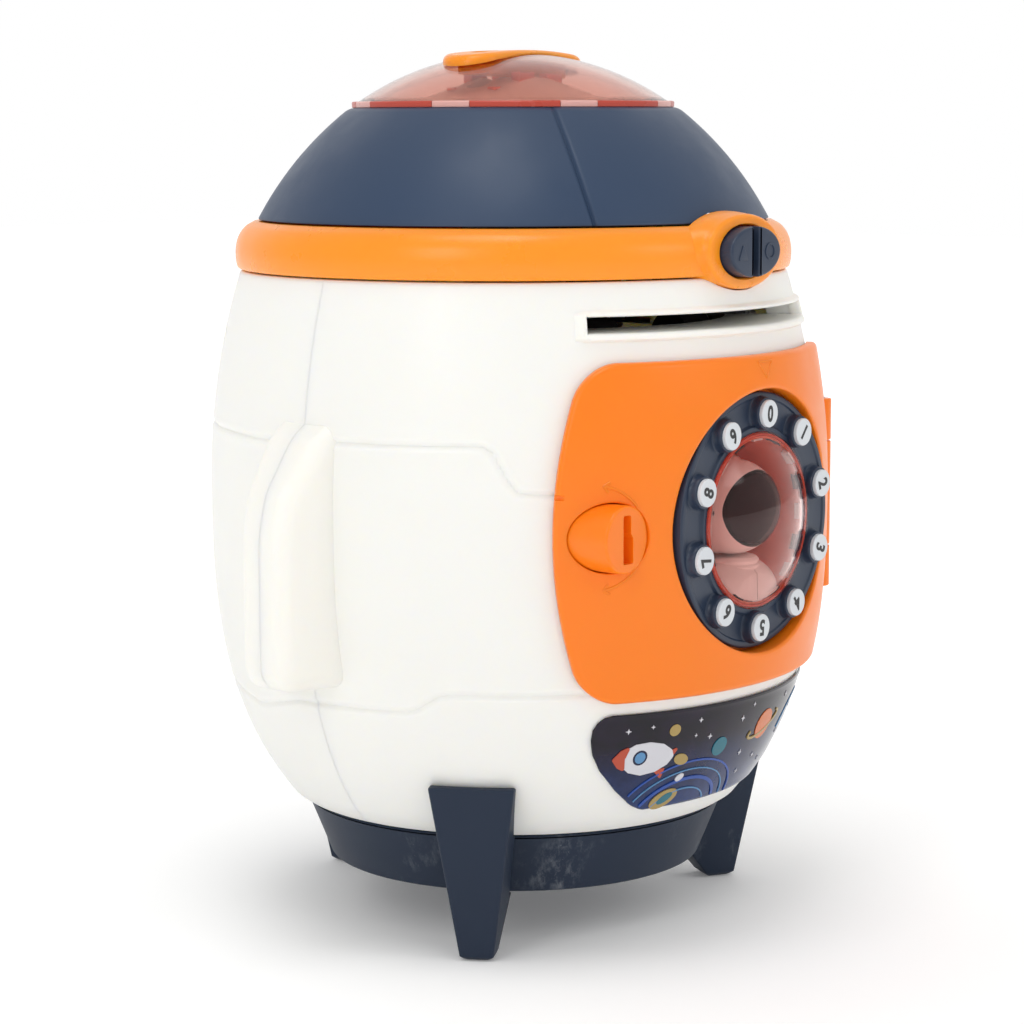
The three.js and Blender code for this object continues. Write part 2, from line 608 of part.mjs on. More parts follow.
// ---------------------------------------------------------------- dial
const numberPlaces = range(0, NUMBERS - 1, NUMBERS - 1).map((i) => {
  const angle = rad((360 / NUMBERS) * i + NUMBER_TURN);
  return [NUMBER_CIRCLE * Math.sin(angle), DOOR_Z + NUMBER_CIRCLE * Math.cos(angle)];
});
const numberBosses = numberPlaces.map(([x, z]) => (
  barY(NUMBER_BOSS_R, x, z, DIAL_FACE - 2.1, DIAL_FACE + 1, 14)
));
const dialPlate = barY(DIAL_R, 0, DOOR_Z, DIAL_FACE, DIAL_BACK, 44);
const dialBore = barY(DIAL_BORE, 0, DOOR_Z, -95, -60, 40);
addPart('dial_ring', cut(join(dialPlate, ...numberBosses), dialBore), 'navy');
numberPlaces.forEach(([x, z], i) => {
  addPart(`number_disc_${i}`, barY(NUMBER_DISC_R, x, z, DIAL_FACE - 3.1, DIAL_FACE - 2.4, 14), 'white');
});

// ---------------------------------------------------------------- window and the figure behind it
// Pieces turned round the line through the dial's centre: (radius, distance in front) outlines.
function faceTurned(points, facets = 32) {
  return turned(points, facets).rotate([90, 0, 0]).translate([0, 0, DOOR_Z]);
}

const bulge = WINDOW_APEX - (DIAL_FACE - 1.1);
const windowR = (WINDOW_R ** 2 + bulge ** 2) / (2 * Math.abs(bulge));
const windowArc = (radius, thin) => range(0, 1, 4).map((share) => {
  const r = radius * share;
  return [r, -WINDOW_APEX - thin - windowR + Math.sqrt(windowR ** 2 - r ** 2)];
});
const windowOutline = [
  ...windowArc(WINDOW_R, 0), [WINDOW_RIM_R, -DIAL_FACE + 1.1], [WINDOW_RIM_R, -DIAL_FACE + 0.3],
  [20.6, -DIAL_FACE + 0.3], ...windowArc(20, 1.6).reverse(),
];
addPart('window_dome', faceTurned(windowOutline), 'clearRed');
const cupOutline = [
  [0, -CUP_BACK], [CUP_R, -CUP_BACK], [CUP_R, 72.2], [25.2, 72.2], [25.2, 73.9], [CUP_R, 73.9],
  [CUP_R, -DIAL_FACE], [CUP_R - 1.4, -DIAL_FACE], [CUP_R - 1.4, -CUP_BACK + 1.5], [0, -CUP_BACK + 1.5],
];
addPart('window_cup', faceTurned(cupOutline), 'clearRed');

function ball(r, [x, y, z], [a, b, c] = [1, 1, 1]) {
  const geometry = new THREE.SphereGeometry(r, 20, 10);
  geometry.rotateX(Math.PI / 2);
  geometry.scale(a, b, c);
  geometry.translate(x, y, z);
  return solid(geometry);
}
const [, headY, headZ] = HEAD;
const visorWindow = (grow) => {
  const outline = ellipse([VISOR_HALF[0] + grow, VISOR_HALF[1] + grow], [0, headZ]);
  return pulledY(outline, DIAL_FACE, VISOR_BACK + grow, 28);
};
addPart('astronaut_helmet', cut(ball(HELMET_R, HEAD), visorWindow(GAP)), 'white');
addPart('astronaut_visor', ball(HELMET_R + 0.2, HEAD).intersect(visorWindow(0)), 'black');
const [podInner, podOuter] = POD_X;
addPart('ear_pod_left', barX(POD_R, headY, headZ, -podOuter, -podInner, 18), 'grey');
addPart('ear_pod_right', barX(POD_R, headY, headZ, podInner, podOuter, 18), 'grey');
const cupFloor = CUP_BACK - 1.8;
const cupRoom = barY(CUP_R - 1.8, 0, DOOR_Z, DIAL_FACE, cupFloor, 36);
const neckRing = barZ(NECK_R, 0, headY, ...NECK_Z, 20);
const chest = ball(CHEST_R, [0, headY, CHEST_Z], [1.2, 0.74, 0.68]);
const stand = block(-6, 6, headY, cupFloor, 96, 101);
addPart('astronaut_torso', join(chest, neckRing, stand).intersect(cupRoom), 'white');

// ---------------------------------------------------------------- key latch
const keySlot = join(
  block(LATCH[0] - 1.6, LATCH[0] + 1.6, -80, LATCH_FACE + 5, LATCH[1] - 6.1, LATCH[1] + 6.1),
  block(LATCH[0] - 1.6, LATCH[0] + 2.6, -80, LATCH_FACE + 5, LATCH[1] - 6.1, LATCH[1] + 0.6),
);
const barrel = join(
  barY(LATCH_R, ...LATCH, LATCH_FACE, -62.4, 32), barY(LATCH_SHAFT_R, ...LATCH, -63, -55.2, 16),
  barY(2.6, ...LATCH, -56, -50.6, 14),
);
addPart('latch_barrel', cut(barrel, keySlot), 'orange');
// At rest the cam points up and the door is free to open.
const camArm = join(
  barY(5.2, ...LATCH, -54.8, -52, 20),
  block(LATCH[0] - 3, LATCH[0] + 3, -54.6, -52, LATCH[1], LATCH[1] + 8.6),
);
addPart('latch_cam', cut(camArm, barY(2.9, ...LATCH, -60, -45, 14)), 'steel');

// ---------------------------------------------------------------- banknote feed
const FEED_Z = NOTE_Z + 0.15 + ROLLER_R;
const IDLER_Z = NOTE_Z - 0.15 - ROLLER_R;
const centreDistance = (GEAR_MODULE * (GEAR_TEETH + PINION_TEETH)) / 2;
const PINION = [
  ROLLER_Y + centreDistance * Math.cos(rad(PINION_ANGLE)),
  FEED_Z + centreDistance * Math.sin(rad(PINION_ANGLE)),
];

const guideBlank = block(-47.6, 47.6, -80, -53.2, 160.3, 168.6);
const guideOuter = guideBlank.intersect(bodySolid(WALL + 3 * GAP, 155, 175, 2));
const guideInner = block(-45.8, 45.8, -90, -40, SLOT_Z[0], SLOT_Z[1]);
addPart('note_guide', cut(guideOuter, guideInner), 'grey');

function feedFrame() {
  const plates = [-1, 1].map((side) => {
    const [x0, x1] = side < 0 ? [-PLATE_X[1], -PLATE_X[0]] : PLATE_X;
    return join(block(x0, x1, -49, -20, 151.5, 176), block(x0, x1, -40, -20, 170, 187));
  });
  const bars = join(
    block(-41, 41, -24, -20, 183, 187), block(-41, 41, -24, -20, 151.5, 155),
  );
  const holes = [
    barX(1.75, ROLLER_Y, FEED_Z, -50, 50, 16), barX(1.75, ROLLER_Y, IDLER_Z, -50, 50, 16),
    barX(2.6, ...PINION, 30, 50, 16),
  ];
  return cut(join(...plates, bars), ...holes);
}
addPart('feed_frame', feedFrame(), 'grey');

addPart('feed_shaft', barX(1.6, ROLLER_Y, FEED_Z, -43.5, 48.5, 16), 'steel');
['feed_roller_left', 'feed_roller_right'].forEach((name, i) => {
  const [x0, x1] = [ROLLER_X[i], ROLLER_X[i] + ROLLER_LENGTH];
  const roller = barX(ROLLER_R, ROLLER_Y, FEED_Z, x0, x1, 20);
  addPart(name, cut(roller, barX(1.9, ROLLER_Y, FEED_Z, x0 - 1, x1 + 1, 16)), 'rubber');
});
const idlerShaft = barX(1.6, ROLLER_Y, IDLER_Z, -43.5, 43.5, 16);
const idlerRollers = ROLLER_X.map((x) => barX(ROLLER_R, ROLLER_Y, IDLER_Z, x, x + ROLLER_LENGTH, 20));
addPart('idler_roller', join(idlerShaft, ...idlerRollers), 'grey');

// Spur gear with straight-sided teeth round X, one tooth (or one space) facing the given angle.
function gear(teeth, [y, z], facing, startWithTooth, bore) {
  const pitch = (GEAR_MODULE * teeth) / 2;
  const [root, tip] = [pitch - 1.15 * GEAR_MODULE, pitch + 0.85 * GEAR_MODULE];
  const step = 360 / teeth;
  const outline = [];
  for (let i = 0; i < teeth; i += 1) {
    const middle = facing + step * (i + (startWithTooth ? 0 : 0.5));
    for (const [share, r] of [[-0.3, root], [-0.11, tip], [0.11, tip], [0.3, root]]) {
      const angle = rad(middle + step * share);
      outline.push([y + r * Math.cos(angle), z + r * Math.sin(angle)]);
    }
  }
  return cut(pulledX(outline, ...GEAR_X), barX(bore, y, z, 40, 50, 14));
}
addPart('feed_gear', gear(GEAR_TEETH, [ROLLER_Y, FEED_Z], PINION_ANGLE, true, 1.9), 'white');
addPart('motor_pinion', gear(PINION_TEETH, PINION, PINION_ANGLE + 180, false, 1.15), 'steel');
const motor = join(barX(6.4, ...PINION, 15, 39.6, 24), barX(0.85, ...PINION, 39, 47.6, 12));
addPart('feed_motor', motor, 'steel');

// ---------------------------------------------------------------- money bin, electronics
const binOuter = block(-BIN.x, BIN.x, BIN.front, BIN.back, BIN.floor, BIN.top);
const binInner = block(-BIN.x + 2, BIN.x - 2, BIN.front - 2, BIN.back - 2, BIN.floor + 2, BIN.top + 2);
addPart('money_bin', cut(binOuter, binInner), 'cream');
const board = join(block(-34, 34, 42, 43.6, 84, 146), block(-8, 8, 43.5, 46, 118, 130));
addPart('circuit_board', board, 'board');
const speakerOutline = [
  [0, 70], [9, 70], [9, 73], [14, 76], [SPEAKER_R, 76], [SPEAKER_R, 77.4], [15, 77.4], [0, 74.5],
];
const speaker = turned(speakerOutline, 24).rotate([-90, 0, 0]).translate([0, 0, SPEAKER_Z]);
addPart('speaker', speaker, 'black');

export default group;
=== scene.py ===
"""Toy savings bank shaped like a space capsule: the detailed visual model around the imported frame."""
import math

import bmesh
import bpy
import numpy as np
from mathutils import Matrix, Vector


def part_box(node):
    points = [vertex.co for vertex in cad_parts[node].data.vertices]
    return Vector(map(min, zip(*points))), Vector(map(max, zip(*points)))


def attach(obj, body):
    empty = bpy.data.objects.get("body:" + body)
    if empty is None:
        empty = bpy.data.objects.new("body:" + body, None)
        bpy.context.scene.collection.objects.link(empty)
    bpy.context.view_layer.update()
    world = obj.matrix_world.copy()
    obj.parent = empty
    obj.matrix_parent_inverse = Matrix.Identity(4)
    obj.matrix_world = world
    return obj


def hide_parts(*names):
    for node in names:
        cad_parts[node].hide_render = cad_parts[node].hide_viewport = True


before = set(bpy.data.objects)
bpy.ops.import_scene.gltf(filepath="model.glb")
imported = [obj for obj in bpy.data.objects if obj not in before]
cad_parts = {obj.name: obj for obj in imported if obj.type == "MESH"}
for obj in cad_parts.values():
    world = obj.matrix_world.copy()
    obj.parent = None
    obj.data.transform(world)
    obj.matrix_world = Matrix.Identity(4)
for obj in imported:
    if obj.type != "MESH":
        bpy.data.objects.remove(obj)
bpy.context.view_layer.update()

MM = 0.001

# ------------------------------------------------------------------ sizes, in millimetres
# Heights are above the ground, radii from the capsule's axis, which is the base ring's.
LOW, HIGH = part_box("base_ring")
AXIS = Vector(((LOW.x + HIGH.x) / 2, (LOW.y + HIGH.y) / 2, 0)) / MM

WALL = 2.2
SEAM_Y = 2.3                   # the shells meet this far behind the axis
SEAM_ANGLE = 91.6              # degrees from the front to the seam
SEAM = 0.012                   # degrees from a shell's edge to the seam
BELLY_R = 82.74
BELLY_Z = 117.4
BELLY_UP = 129.05
BELLY_DOWN = 111.8
BELLY_DOWN_POWER = 2.825
ARC_R = 83.0                   # arc lengths along the body are measured at this radius

DOOR_Z = 112.8
DOOR_HALF = (64.75, 42.8)
DOOR_SIDE_R = 111.0
DOOR_CORNER = 9.0
DOOR_INNER = 0.45
DOOR_OUTER = 3.0
DOOR_EDGE = 1.25               # rounding along the door's rim
OPENING_INSET = 3.2

DIAL_R = 33.2
DIAL_FACE = -80.1
DIAL_FLOOR = -76.7
NUMBER_CIRCLE = 27.65
NUMBER_TURN = 3.0
CUP_R = 22.3
WINDOW_R = 21.6
HEAD = (0.0, -72.0, 115.8)
LATCH = (-49.0, 112.8)
LATCH_R = 8.5
LATCH_FACE = -75.1
HINGE = (63.42, -58.53)
KNUCKLES = ((126.7, 138.2), (97.3, 126.4), (85.6, 97.0))

SLOT_Z = (162.7, 166.8)
SLOT_HALF_ANGLE = 37.6
BOSS_Z = 181.7
BUTTON_HALF = (11.1, 6.5)
BUTTON_SPLIT = 1.45            # half the gap between the two buttons
FIN_CREST = 98.7


def radians(values):
    return np.radians(values)


def body_radius(z):
    z = np.asarray(z, float)
    upper = z > BELLY_Z
    share = np.abs(z - BELLY_Z) / np.where(upper, BELLY_UP, BELLY_DOWN)
    return BELLY_R * np.sqrt(1 - share ** np.where(upper, 2.0, BELLY_DOWN_POWER))


def on_body(arc, z, offset=0.0):
    """Points on the capsule: arc millimetres to the right of the front, offset millimetres off it."""
    angle = np.asarray(arc, float) / ARC_R
    r = body_radius(z) + offset
    return np.stack([r * np.sin(angle), -r * np.cos(angle), np.broadcast_to(z, r.shape)], -1)


def smoothstep(low, high, x):
    t = np.clip((x - low) / (high - low), 0, 1)
    return t * t * (3 - 2 * t)


# ------------------------------------------------------------------ mesh helpers
def new_piece(name, points, faces, materials=(), face_materials=None):
    """A mesh object from points in millimetres about the capsule's axis."""
    mesh = bpy.data.meshes.new(name)
    world = (np.asarray(points, float).reshape(-1, 3) + np.array(AXIS)) * MM
    mesh.from_pydata(world.tolist(), [], faces)
    for material in materials:
        mesh.materials.append(material)
    if face_materials is not None:
        mesh.polygons.foreach_set("material_index", face_materials)
    mesh.validate()
    piece = bpy.data.objects.new(name, mesh)
    bpy.context.scene.collection.objects.link(piece)
    return piece


def tidy_mesh(piece, distance=1e-6):
    mesh = bmesh.new()
    mesh.from_mesh(piece.data)
    bmesh.ops.remove_doubles(mesh, verts=mesh.verts, dist=distance)
    bmesh.ops.dissolve_degenerate(mesh, edges=mesh.edges, dist=distance)
    bmesh.ops.recalc_face_normals(mesh, faces=mesh.faces)
    if mesh.calc_volume(signed=True) < 0:
        bmesh.ops.reverse_faces(mesh, faces=mesh.faces)
    mesh.to_mesh(piece.data)
    mesh.free()
    return piece


def apply_modifiers(piece):
    bpy.context.view_layer.update()
    evaluated = piece.evaluated_get(bpy.context.evaluated_depsgraph_get())
    mesh = bpy.data.meshes.new_from_object(evaluated)
    piece.modifiers.clear()
    piece.data = mesh
    return piece


def combine(piece, tool, operation):
    modifier = piece.modifiers.new("combine", "BOOLEAN")
    modifier.operation = operation
    modifier.solver = "MANIFOLD"
    modifier.object = tool
    apply_modifiers(piece)
    bpy.data.objects.remove(tool)
    return piece


def carve(piece, *tools):
    for tool in tools:
        combine(piece, tool, "DIFFERENCE")
    return piece


def weld(piece, *others):
    for other in others:
        combine(piece, other, "UNION")
    return piece


def grid_faces(rows, columns, start=0, closed=False):
    faces = []
    wide = columns if closed else columns - 1
    for row in range(rows - 1):
        for column in range(wide):
            a = start + row * columns + column
            b = start + row * columns + (column + 1) % columns
            faces.append((a, b, b + columns, a + columns))
    return faces


def grid_solid(name, outer, inner):
    """A closed solid between two grids of points with the same rows and columns."""
    rows, columns = outer.shape[:2]
    layer = rows * columns
    faces = grid_faces(rows, columns)
    faces += [tuple(reversed(face)) for face in grid_faces(rows, columns, layer)]
    rim = [(0, column) for column in range(columns - 1)]
    rim += [(row, columns - 1) for row in range(rows - 1)]
    rim += [(rows - 1, column) for column in range(columns - 1, 0, -1)]
    rim += [(row, 0) for row in range(rows - 1, 0, -1)]
    ring = [row * columns + column for row, column in rim]
    for a, b in zip(ring, ring[1:] + ring[:1]):
        faces.append((b, a, a + layer, b + layer))
    piece = new_piece(name, np.concatenate([outer.reshape(-1, 3), inner.reshape(-1, 3)]), faces)
    return tidy_mesh(piece)


def fillet(corners, steps=4):
    """A closed outline of (u, v, radius) corners with each corner rounded in its radius."""
    outline = []
    for i, (u, v, radius) in enumerate(corners):
        corner = Vector((u, v))
        before = Vector(corners[i - 1][:2]) - corner
        after = Vector(corners[(i + 1) % len(corners)][:2]) - corner
        if radius <= 0:
            outline.append((u, v))
            continue
        angle = before.angle(after)
        if angle > 3.13:
            outline.append((u, v))
            continue
        setback = min(radius / math.tan(angle / 2), 0.49 * before.length, 0.49 * after.length)
        radius = setback * math.tan(angle / 2)
        middle = (before.normalized() + after.normalized()).normalized()
        centre = corner + middle * (radius / math.sin(angle / 2))
        first = corner + before.normalized() * setback - centre
        last = corner + after.normalized() * setback - centre
        turn = -first.angle_signed(last)
        for step in range(steps + 1):
            point = first.copy()
            point.rotate(Matrix.Rotation(turn * step / steps, 2))
            outline.append(tuple(centre + point))
    return outline


UPRIGHT = Matrix.Identity(4)
FACING_FRONT = Matrix.Rotation(math.radians(90), 4, "X")     # local +Z points to -Y
FACING_BACK = Matrix.Rotation(math.radians(-90), 4, "X")
FACING_RIGHT = Matrix.Rotation(math.radians(90), 4, "Y")     # local +Z points to +X


def placed(points, turn, centre):
    matrix = np.array(turn.to_3x3())
    return np.asarray(points, float) @ matrix.T + np.array(centre, float)


def lathe(name, outline, turn=UPRIGHT, centre=(0, 0, 0), steps=96):
    """A closed (radius, height) outline turned round its axis, which turn and centre place."""
    profile = np.array(outline, float)
    angles = np.linspace(0, 2 * math.pi, steps, endpoint=False)
    r, h = profile[:, 0][:, None], profile[:, 1][:, None]
    points = np.stack([r * np.cos(angles), r * np.sin(angles), h + 0 * angles], -1)
    on_axis = profile[0, 0] < 1e-6 and profile[-1, 0] < 1e-6
    faces = grid_faces(len(profile), steps, closed=True)
    if not on_axis:
        last = (len(profile) - 1) * steps
        for column in range(steps):
            after = (column + 1) % steps
            faces.append((last + column, last + after, after, column))
    piece = new_piece(name, placed(points.reshape(-1, 3), turn, centre), faces)
    return tidy_mesh(piece)


def offset_outline(outline, inset):
    """Moves each point of a closed counter-clockwise outline inwards by inset."""
    points = np.array(outline, float)
    ahead = np.roll(points, -1, 0) - points
    behind = points - np.roll(points, 1, 0)
    ahead /= np.linalg.norm(ahead, axis=1)[:, None]
    behind /= np.linalg.norm(behind, axis=1)[:, None]
    inward = np.stack([-ahead[:, 1] - behind[:, 1], ahead[:, 0] + behind[:, 0]], -1)
    size = np.linalg.norm(inward, axis=1)[:, None]
    return points + inward / size * inset / np.clip(size / 2, 0.4, 1)


def rounded_prism(name, outline, low, high, edge, turn=UPRIGHT, centre=(0, 0, 0), both=True, steps=4):
    """An outline pulled from low to high with its edges rounded at the top, and at the bottom too."""
    rings = []
    quarter = np.linspace(0, math.pi / 2, steps + 1)
    if both:
        rings += [(edge * (1 - math.sin(a)), low + edge * (1 - math.cos(a))) for a in quarter]
    else:
        rings.append((0, low))
    rings += [(edge * (1 - math.cos(a)), high - edge * (1 - math.sin(a))) for a in quarter]
    points = []
    for inset, height in rings:
        ring = offset_outline(outline, inset)
        points.append(np.column_stack([ring, np.full(len(ring), height)]))
    count = len(outline)
    faces = grid_faces(len(rings), count, closed=True)
    faces.append(tuple(reversed(range(count))))
    faces.append(tuple(range((len(rings) - 1) * count, len(rings) * count)))
    piece = new_piece(name, placed(np.concatenate(points), turn, centre), faces)
    return tidy_mesh(piece)


def ellipse(half, centre=(0, 0), steps=64):
    t = np.linspace(0, 2 * math.pi, steps, endpoint=False)
    return np.column_stack([centre[0] + half[0] * np.cos(t), centre[1] + half[1] * np.sin(t)])


def dress(piece, body, slot, material, *nodes, smooth=32):
    """Gives a finished piece its material, its shading, its body and the CAD nodes it stands for."""
    if material is not None:
        piece.data.materials.clear()
        piece.data.materials.append(material)
    piece.data.polygons.foreach_set("use_smooth", [True] * len(piece.data.polygons))
    piece.data.set_sharp_from_angle(angle=math.radians(smooth))
    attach(piece, body)
    if nodes:
        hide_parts(*nodes)
    return piece


# ------------------------------------------------------------------ materials
class Nodes:
    """A short way to write a material's node tree."""

    def __init__(self, name):
        self.material = bpy.data.materials.new(name)
        self.material.use_nodes = True
        self.tree = self.material.node_tree
        self.shader = self.tree.nodes["Principled BSDF"]
        self.place = self.tree.nodes.new("ShaderNodeTexCoord").outputs["Object"]

    def node(self, kind, **values):
        node = self.tree.nodes.new(kind)
        for key, value in values.items():
            if key in node.inputs:
                node.inputs[key].default_value = value
            else:
                setattr(node, key, value)
        return node

    def link(self, source, target):
        self.tree.links.new(source, target)

    def noise(self, scale, detail=3.0, roughness=0.5, stretch=None):
        texture = self.node("ShaderNodeTexNoise", Scale=scale, Detail=detail, Roughness=roughness)
        place = self.place
        if stretch:
            mapping = self.node("ShaderNodeMapping")
            mapping.inputs["Scale"].default_value = stretch
            self.link(self.place, mapping.inputs["Vector"])
            place = mapping.outputs["Vector"]
        self.link(place, texture.inputs["Vector"])
        return texture.outputs["Fac"]

    def ramp(self, source, low, high, start=0.0, end=1.0):
        remap = self.node("ShaderNodeMapRange")
        remap.inputs["From Min"].default_value = low
        remap.inputs["From Max"].default_value = high
        remap.inputs["To Min"].default_value = start
        remap.inputs["To Max"].default_value = end
        self.link(source, remap.inputs["Value"])
        return remap.outputs["Result"]

    def times(self, a, b):
        product = self.node("ShaderNodeMath", operation="MULTIPLY")
        self.link(a, product.inputs[0])
        self.link(b, product.inputs[1])
        return product.outputs[0]

    def blend(self, factor, first, second):
        mix = self.node("ShaderNodeMix", data_type="RGBA")
        self.link(factor, mix.inputs[0])
        for value, socket in ((first, mix.inputs[6]), (second, mix.inputs[7])):
            if isinstance(value, bpy.types.NodeSocket):
                self.link(value, socket)
            else:
                socket.default_value = (*value, 1.0)
        return mix.outputs[2]

    def bump(self, heights):
        """Bump from (height, strength, distance in millimetres) layers."""
        normal = None
        for height, strength, distance in heights:
            bump = self.node("ShaderNodeBump", Strength=strength, Distance=distance * MM)
            self.link(height, bump.inputs["Height"])
            if normal is not None:
                self.link(normal, bump.inputs["Normal"])
            normal = bump.outputs["Normal"]
        self.link(normal, self.shader.inputs["Normal"])


def shade(colour, factor):
    return tuple(min(1.0, c * factor) for c in colour)


def moulded(name, colour, roughness, subsurface=0.0, glow=None, grain=0.25, uneven=0.06, gloss=0.4):
    """Moulded plastic: slight unevenness of tone and gloss, a fine moulded grain and soft flow marks."""
    m = Nodes(name)
    cloud = m.noise(14, 4)
    m.link(m.blend(cloud, shade(colour, 1 - uneven), shade(colour, 1 + uneven)),
           m.shader.inputs["Base Color"])
    m.link(m.ramp(m.noise(60, 5, 0.6), 0.3, 0.7, roughness - 0.06, roughness + 0.07),
           m.shader.inputs["Roughness"])
    m.bump([(m.noise(2600, 2), grain, 0.04), (m.noise(35, 2), 0.12, 0.5)])
    m.shader.inputs["IOR"].default_value = 1.49
    m.shader.inputs["Specular IOR Level"].default_value = gloss
    if subsurface:
        m.shader.inputs["Subsurface Weight"].default_value = subsurface
        m.shader.inputs["Subsurface Radius"].default_value = glow
        m.shader.inputs["Subsurface Scale"].default_value = 0.004
    return m.material


def scuffed(name, colour, roughness, dust, low, high):
    """Dark moulded plastic with pale rubbed patches and scratches, most of them below a height."""
    m = Nodes(name)
    cloud = m.noise(18, 4)
    base = m.blend(cloud, shade(colour, 0.92), shade(colour, 1.1))
    split = m.node("ShaderNodeSeparateXYZ")
    m.link(m.place, split.inputs[0])
    near_ground = m.ramp(split.outputs["Z"], high * MM, low * MM)
    patches = m.ramp(m.noise(42, 5, 0.6), 0.54, 0.72)
    streaks = m.ramp(m.noise(420, 6, 0.75, stretch=(1.0, 1.0, 0.35)), 0.47, 0.72)
    worn = m.times(m.times(patches, streaks), near_ground)
    specks = m.times(m.ramp(m.noise(1500, 3, 0.7), 0.63, 0.72), patches)
    tint = m.blend(m.ramp(worn, 0, 0.7, 0, 0.4), base, dust)
    m.link(m.blend(m.ramp(specks, 0, 1, 0, 0.25), tint, dust), m.shader.inputs["Base Color"])
    rough = m.ramp(worn, 0, 0.5, roughness, roughness + 0.25)
    m.link(rough, m.shader.inputs["Roughness"])
    m.bump([(m.noise(2200, 2), 0.3, 0.05), (streaks, 0.1, 0.05)])
    m.shader.inputs["IOR"].default_value = 1.49
    m.shader.inputs["Specular IOR Level"].default_value = 0.22
    return m.material


def clear_plastic(name, colour, roughness=0.04, gloss=0.5):
    """Tinted transparent plastic with faint flow ripples and a slightly uneven polish."""
    m = Nodes(name)
    cloud = m.noise(20, 3)
    m.link(m.blend(cloud, shade(colour, 0.96), shade(colour, 1.03)), m.shader.inputs["Base Color"])
    m.link(m.ramp(m.noise(120, 5, 0.7), 0.4, 0.8, roughness, roughness + 0.05), m.shader.inputs["Roughness"])
    m.bump([(m.noise(26, 2), 0.05, 0.4)])
    m.shader.inputs["Transmission Weight"].default_value = 1.0
    m.shader.inputs["IOR"].default_value = 1.3
    m.shader.inputs["Specular IOR Level"].default_value = gloss
    return m.material


def metal(name, colour, roughness):
    m = Nodes(name)
    brushed = m.noise(900, 3, 0.6, stretch=(0.05, 1.0, 1.0))
    m.link(m.blend(brushed, shade(colour, 0.85), shade(colour, 1.08)), m.shader.inputs["Base Color"])
    m.link(m.ramp(brushed, 0.3, 0.7, roughness - 0.08, roughness + 0.1), m.shader.inputs["Roughness"])
    m.bump([(brushed, 0.15, 0.03)])
    m.shader.inputs["Metallic"].default_value = 1.0
    return m.material


CREAM = (0.90, 0.885, 0.83)
ORANGE = (0.96, 0.212, 0.005)
NAVY = (0.024, 0.038, 0.070)

cream = moulded("cream_plastic", CREAM, 0.42, 0.35, (1.0, 0.82, 0.5), grain=0.2, uneven=0.012)
orange = moulded("orange_plastic", ORANGE, 0.33, 0.25, (1.0, 0.35, 0.08), grain=0.15, uneven=0.03)
# dome: a brighter, bluer navy than NAVY, painted light for the sky sheen and top light on the dome
navy = moulded("navy_plastic", (0.027, 0.052, 0.105), 0.42, grain=0.35, uneven=0.06)
# collar and coin saddle: the orange made brighter and yellower, painted light for the top light and highlight
# they catch
collar_orange_lit = moulded("collar_orange_lit", (0.98, 0.30, 0.012), 0.3, 0.25, (1.0, 0.4, 0.08), grain=0.15,
                        uneven=0.03)
# base ring, legs and battery cover: NAVY darkened to 0.72 is painted shade for their low, shaded place; the
# pale scuffs and dust on it are real wear
navy_shaded_scuffed = scuffed("navy_scuffed_painted_shade", shade(NAVY, 0.72), 0.5, (0.42, 0.44, 0.46), 10, 45)
dial_navy = moulded("navy_dial", shade(NAVY, 0.92), 0.36, grain=0.2)
button_navy = moulded("navy_button", NAVY, 0.34, grain=0.3)
clear_red = clear_plastic("clear_red", (0.85, 0.56, 0.49), 0.04, 0.2)
white = moulded("white_plastic", (0.86, 0.86, 0.85), 0.38, 0.1, (1, 0.9, 0.8), grain=0.15, uneven=0.015)
ink = moulded("black_ink", (0.012, 0.012, 0.014), 0.3, grain=0.05)
visor_black = moulded("visor_black", (0.022, 0.005, 0.008), 0.2, grain=0.02, gloss=0.05)
disc_white = moulded("disc_white", (0.66, 0.69, 0.72), 0.4, grain=0.1)
# near-black lugs: painted shade for the dark slots between the window's clips
slot_shade_black = moulded("lug_painted_shade", (0.03, 0.02, 0.025), 0.4)
grey = moulded("grey_plastic", (0.35, 0.35, 0.36), 0.5)
# note guide and money bin: the shell's cream darkened to 0.8, painted shade for their place inside the body
guide_cream_shaded = moulded("guide_cream_shaded", shade(CREAM, 0.8), 0.5, grain=0.2)
rubber = moulded("black_rubber", (0.02, 0.02, 0.02), 0.8, grain=0.6)
board_green = moulded("board_green", (0.03, 0.16, 0.06), 0.35)
steel = metal("steel", (0.55, 0.55, 0.57), 0.32)
brass = metal("brass_rod", (0.72, 0.48, 0.2), 0.3)
cell_can = metal("cell_can", (0.5, 0.5, 0.52), 0.4)


# ------------------------------------------------------------------ front and rear shells
# Panel grooves as (degrees from the front, height) corners; the other side is the mirror image.
UPPER_GROOVE = ((44, 123.3), (50.2, 123.9), (52.2, 127.0), (54.9, 134.0), (56.7, 135.5), (82, 135.3),
                (102, 134.2), (127, 134.7), (180, 134.7))
LOWER_GROOVE = ((38, 72.6), (63, 72.6), (65.4, 71.9), (69.3, 68.3), (71.9, 67.4), (96.6, 66.8),
                (111, 62.7), (127, 64.4), (180, 64.4))
GROOVE_HALF_WIDTH = 0.66
GROOVE_DEPTH = 0.6
RIM_HALF_ANGLE = 39.2
RIM_Z = (160.9, 168.1)
RIM_PROUD = 1.25


def distance_to_line(degrees, z, line):
    arc = np.abs(degrees) * math.pi / 180 * ARC_R
    nearest = np.full(arc.shape, 1e9)
    for (a0, z0), (a1, z1) in zip(line, line[1:]):
        start = np.array([math.radians(a0) * ARC_R, z0])
        along = np.array([math.radians(a1) * ARC_R, z1]) - start
        share = ((arc - start[0]) * along[0] + (z - start[1]) * along[1]) / (along @ along)
        share = np.clip(share, 0, 1)
        gap = np.hypot(arc - start[0] - share * along[0], z - start[1] - share * along[1])
        nearest = np.minimum(nearest, gap)
    return nearest


